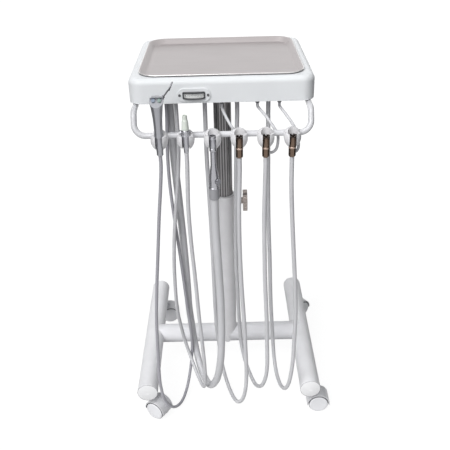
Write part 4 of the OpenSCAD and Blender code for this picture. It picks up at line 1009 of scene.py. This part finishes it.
@dataclass
class PressureGauge:
    """Edgewise gauge: frame, pane, curved dial with its scale, and needle."""

    pivot: tuple[float, float] = (-57.0, -132.104)
    centre_z: float = 842.5
    dial_r: float = 46.8
    sweep_deg: float = 18.0
    divisions: int = 20
    per_unit: int = 2
    numbered: int = 4
    sunk: float = 0.05
    proud: float = 0.06
    base_line: tuple[float, float] = (0.45, 0.65)
    tick_low: float = 0.6
    tick_top: float = 2.2
    tick_half_deg: float = 0.1
    long_tick_top: float = 3.4
    long_tick_half_deg: float = 0.16
    digit_h: float = 1.7
    digit_w: float = 0.95
    digit_gap: float = 0.45
    digit_low: float = -2.2
    digit_shift_deg: float = 0.2
    stroke: float = 0.24

    SEGMENTS = {"0": "abcdef", "2": "abged", "4": "fgbc", "6": "afgedc", "8": "abcdefg",
                "1": "bc"}

    def build(self) -> None:
        """Dresses the gauge and prints its scale."""
        dress(["gauge_bezel"], Palette.BEZEL)
        dress(["gauge_housing"], Palette.DARK)
        dress(["gauge_dial"], Palette.DIAL)
        dress(["gauge_needle"], Palette.NEEDLE)
        dress(["gauge_lens"], ClearPane())
        self._scale()

    def _mark(self, mesh: bmesh.types.BMesh, a0: float, a1: float, z0: float, z1: float
              ) -> None:
        """Thin printed patch on the drum.

        Args:
            mesh: the mesh that takes it.
            a0: its left angle in degrees.
            a1: its right angle.
            z0: its lower height from the gauge's middle.
            z1: its upper height.
        """
        layers = []
        for r in (self.dial_r - self.sunk, self.dial_r + self.proud):
            corners = ((a0, z0), (a1, z0), (a1, z1), (a0, z1))
            layers.append(ring_of(mesh, (self._on_drum(a, z, r) for a, z in corners)))
        bridge(mesh, *layers)
        for layer in layers:
            mesh.faces.new(layer)

    def _on_drum(self, angle: float, z: float, r: float) -> Vector:
        """Point on the drum.

        Args:
            angle: degrees to the right of straight ahead.
            z: height from the gauge's middle.
            r: distance from the drum's axis.

        Returns:
            The point in metres.
        """
        a = math.radians(angle)
        x, y = self.pivot
        return at_post(x + r * math.sin(a), y - r * math.cos(a), self.centre_z + z)

    def _digit(self, mesh: bmesh.types.BMesh, char: str, left: float, low: float) -> None:
        """One digit made of straight strokes.

        Args:
            mesh: the mesh that takes it.
            char: the digit.
            left: angle of its left side, in degrees.
            low: height of its foot.
        """
        wide = math.degrees(self.digit_w / self.dial_r)
        line = math.degrees(self.stroke / self.dial_r)
        mid, top = low + self.digit_h / 2, low + self.digit_h
        bars = {
            "a": (left, left + wide, top - self.stroke, top),
            "d": (left, left + wide, low, low + self.stroke),
            "g": (left, left + wide, mid - self.stroke / 2, mid + self.stroke / 2),
            "f": (left, left + line, mid, top), "e": (left, left + line, low, mid),
            "b": (left + wide - line, left + wide, mid, top),
            "c": (left + wide - line, left + wide, low, mid),
        }
        for name in self.SEGMENTS[char]:
            self._mark(mesh, *bars[name])

    def _scale(self) -> None:
        """Divisions, their base line and even numbers along the dial."""
        mesh = bmesh.new()
        step = 2 * self.sweep_deg / self.divisions
        wide = math.degrees((self.digit_w + self.digit_gap) / self.dial_r)
        for k in range(self.divisions + 1):
            a = -self.sweep_deg + k * step
            long = k % self.numbered == 0
            half = self.long_tick_half_deg if long else self.tick_half_deg
            top = self.long_tick_top if long else self.tick_top
            self._mark(mesh, a - half, a + half, self.tick_low, top)
            if k < self.divisions:
                self._mark(mesh, a, a + step, *self.base_line)
            text = str(k // self.per_unit) if long else ""
            for i, char in enumerate(text):
                left = a - wide * len(text) / 2 + i * wide + self.digit_shift_deg
                self._digit(mesh, char, left, self.digit_low)
        add_mesh("dial_scale", mesh, [Palette.INK], "head")


@dataclass
class HolderRack:
    """Bent bar with its six holders."""

    count: int = 6

    def build(self) -> None:
        """Dresses the bar and the holders."""
        dress(["holder_bar"], Palette.BAR)
        dress([f"holder_{k + 1}" for k in range(self.count)], Palette.HOLDER)


@dataclass
class Handpieces:
    """Syringe, suction valves and handpiece connectors."""

    connectors: int = 3
    ring_z: tuple[float, float] = (747.9, 751.6)
    mouth_z: tuple[float, float] = (771.9, 775.1)

    def build(self) -> None:
        """Dresses the tools."""
        dress(["syringe_body"], Palette.SYRINGE)
        dress(["syringe_tip"], Palette.TIP)
        dress(["air_button"], Palette.BLUE)
        dress(["water_button"], Palette.GREEN)
        dress(["ejector_valve", "ejector_lever", "hve_valve", "hve_lever"], Palette.CHROME)
        dress(["ejector_tip"], Palette.EJECTOR)
        dress(["hve_cuff"], Palette.CUFF)
        for k in range(self.connectors):
            name = f"connector_{k + 1}"
            dress([name], Palette.BRONZE)
            tint(name, Palette.BRONZE_RING, self._height, self.ring_z)
            tint(name, Palette.BRONZE_DARK, self._height, self.mouth_z)

    @staticmethod
    def _height(point: Vector) -> float:
        """Height of a point above the floor."""
        return point.z


def main() -> None:
    """Builds every sub-assembly in order and reports the pieces."""
    logging.basicConfig(level=logging.INFO, format="%(name)s: %(message)s")
    Studio().build()
    for hose in HOSES:
        hose.build()
    for part in (SignalTubes(), CasterBase(), TelescopePost(), ControlHead(), Tray(),
                 PressureGauge(), HolderRack(), Handpieces()):
        part.build()


if __name__ == "__main__":
    main()
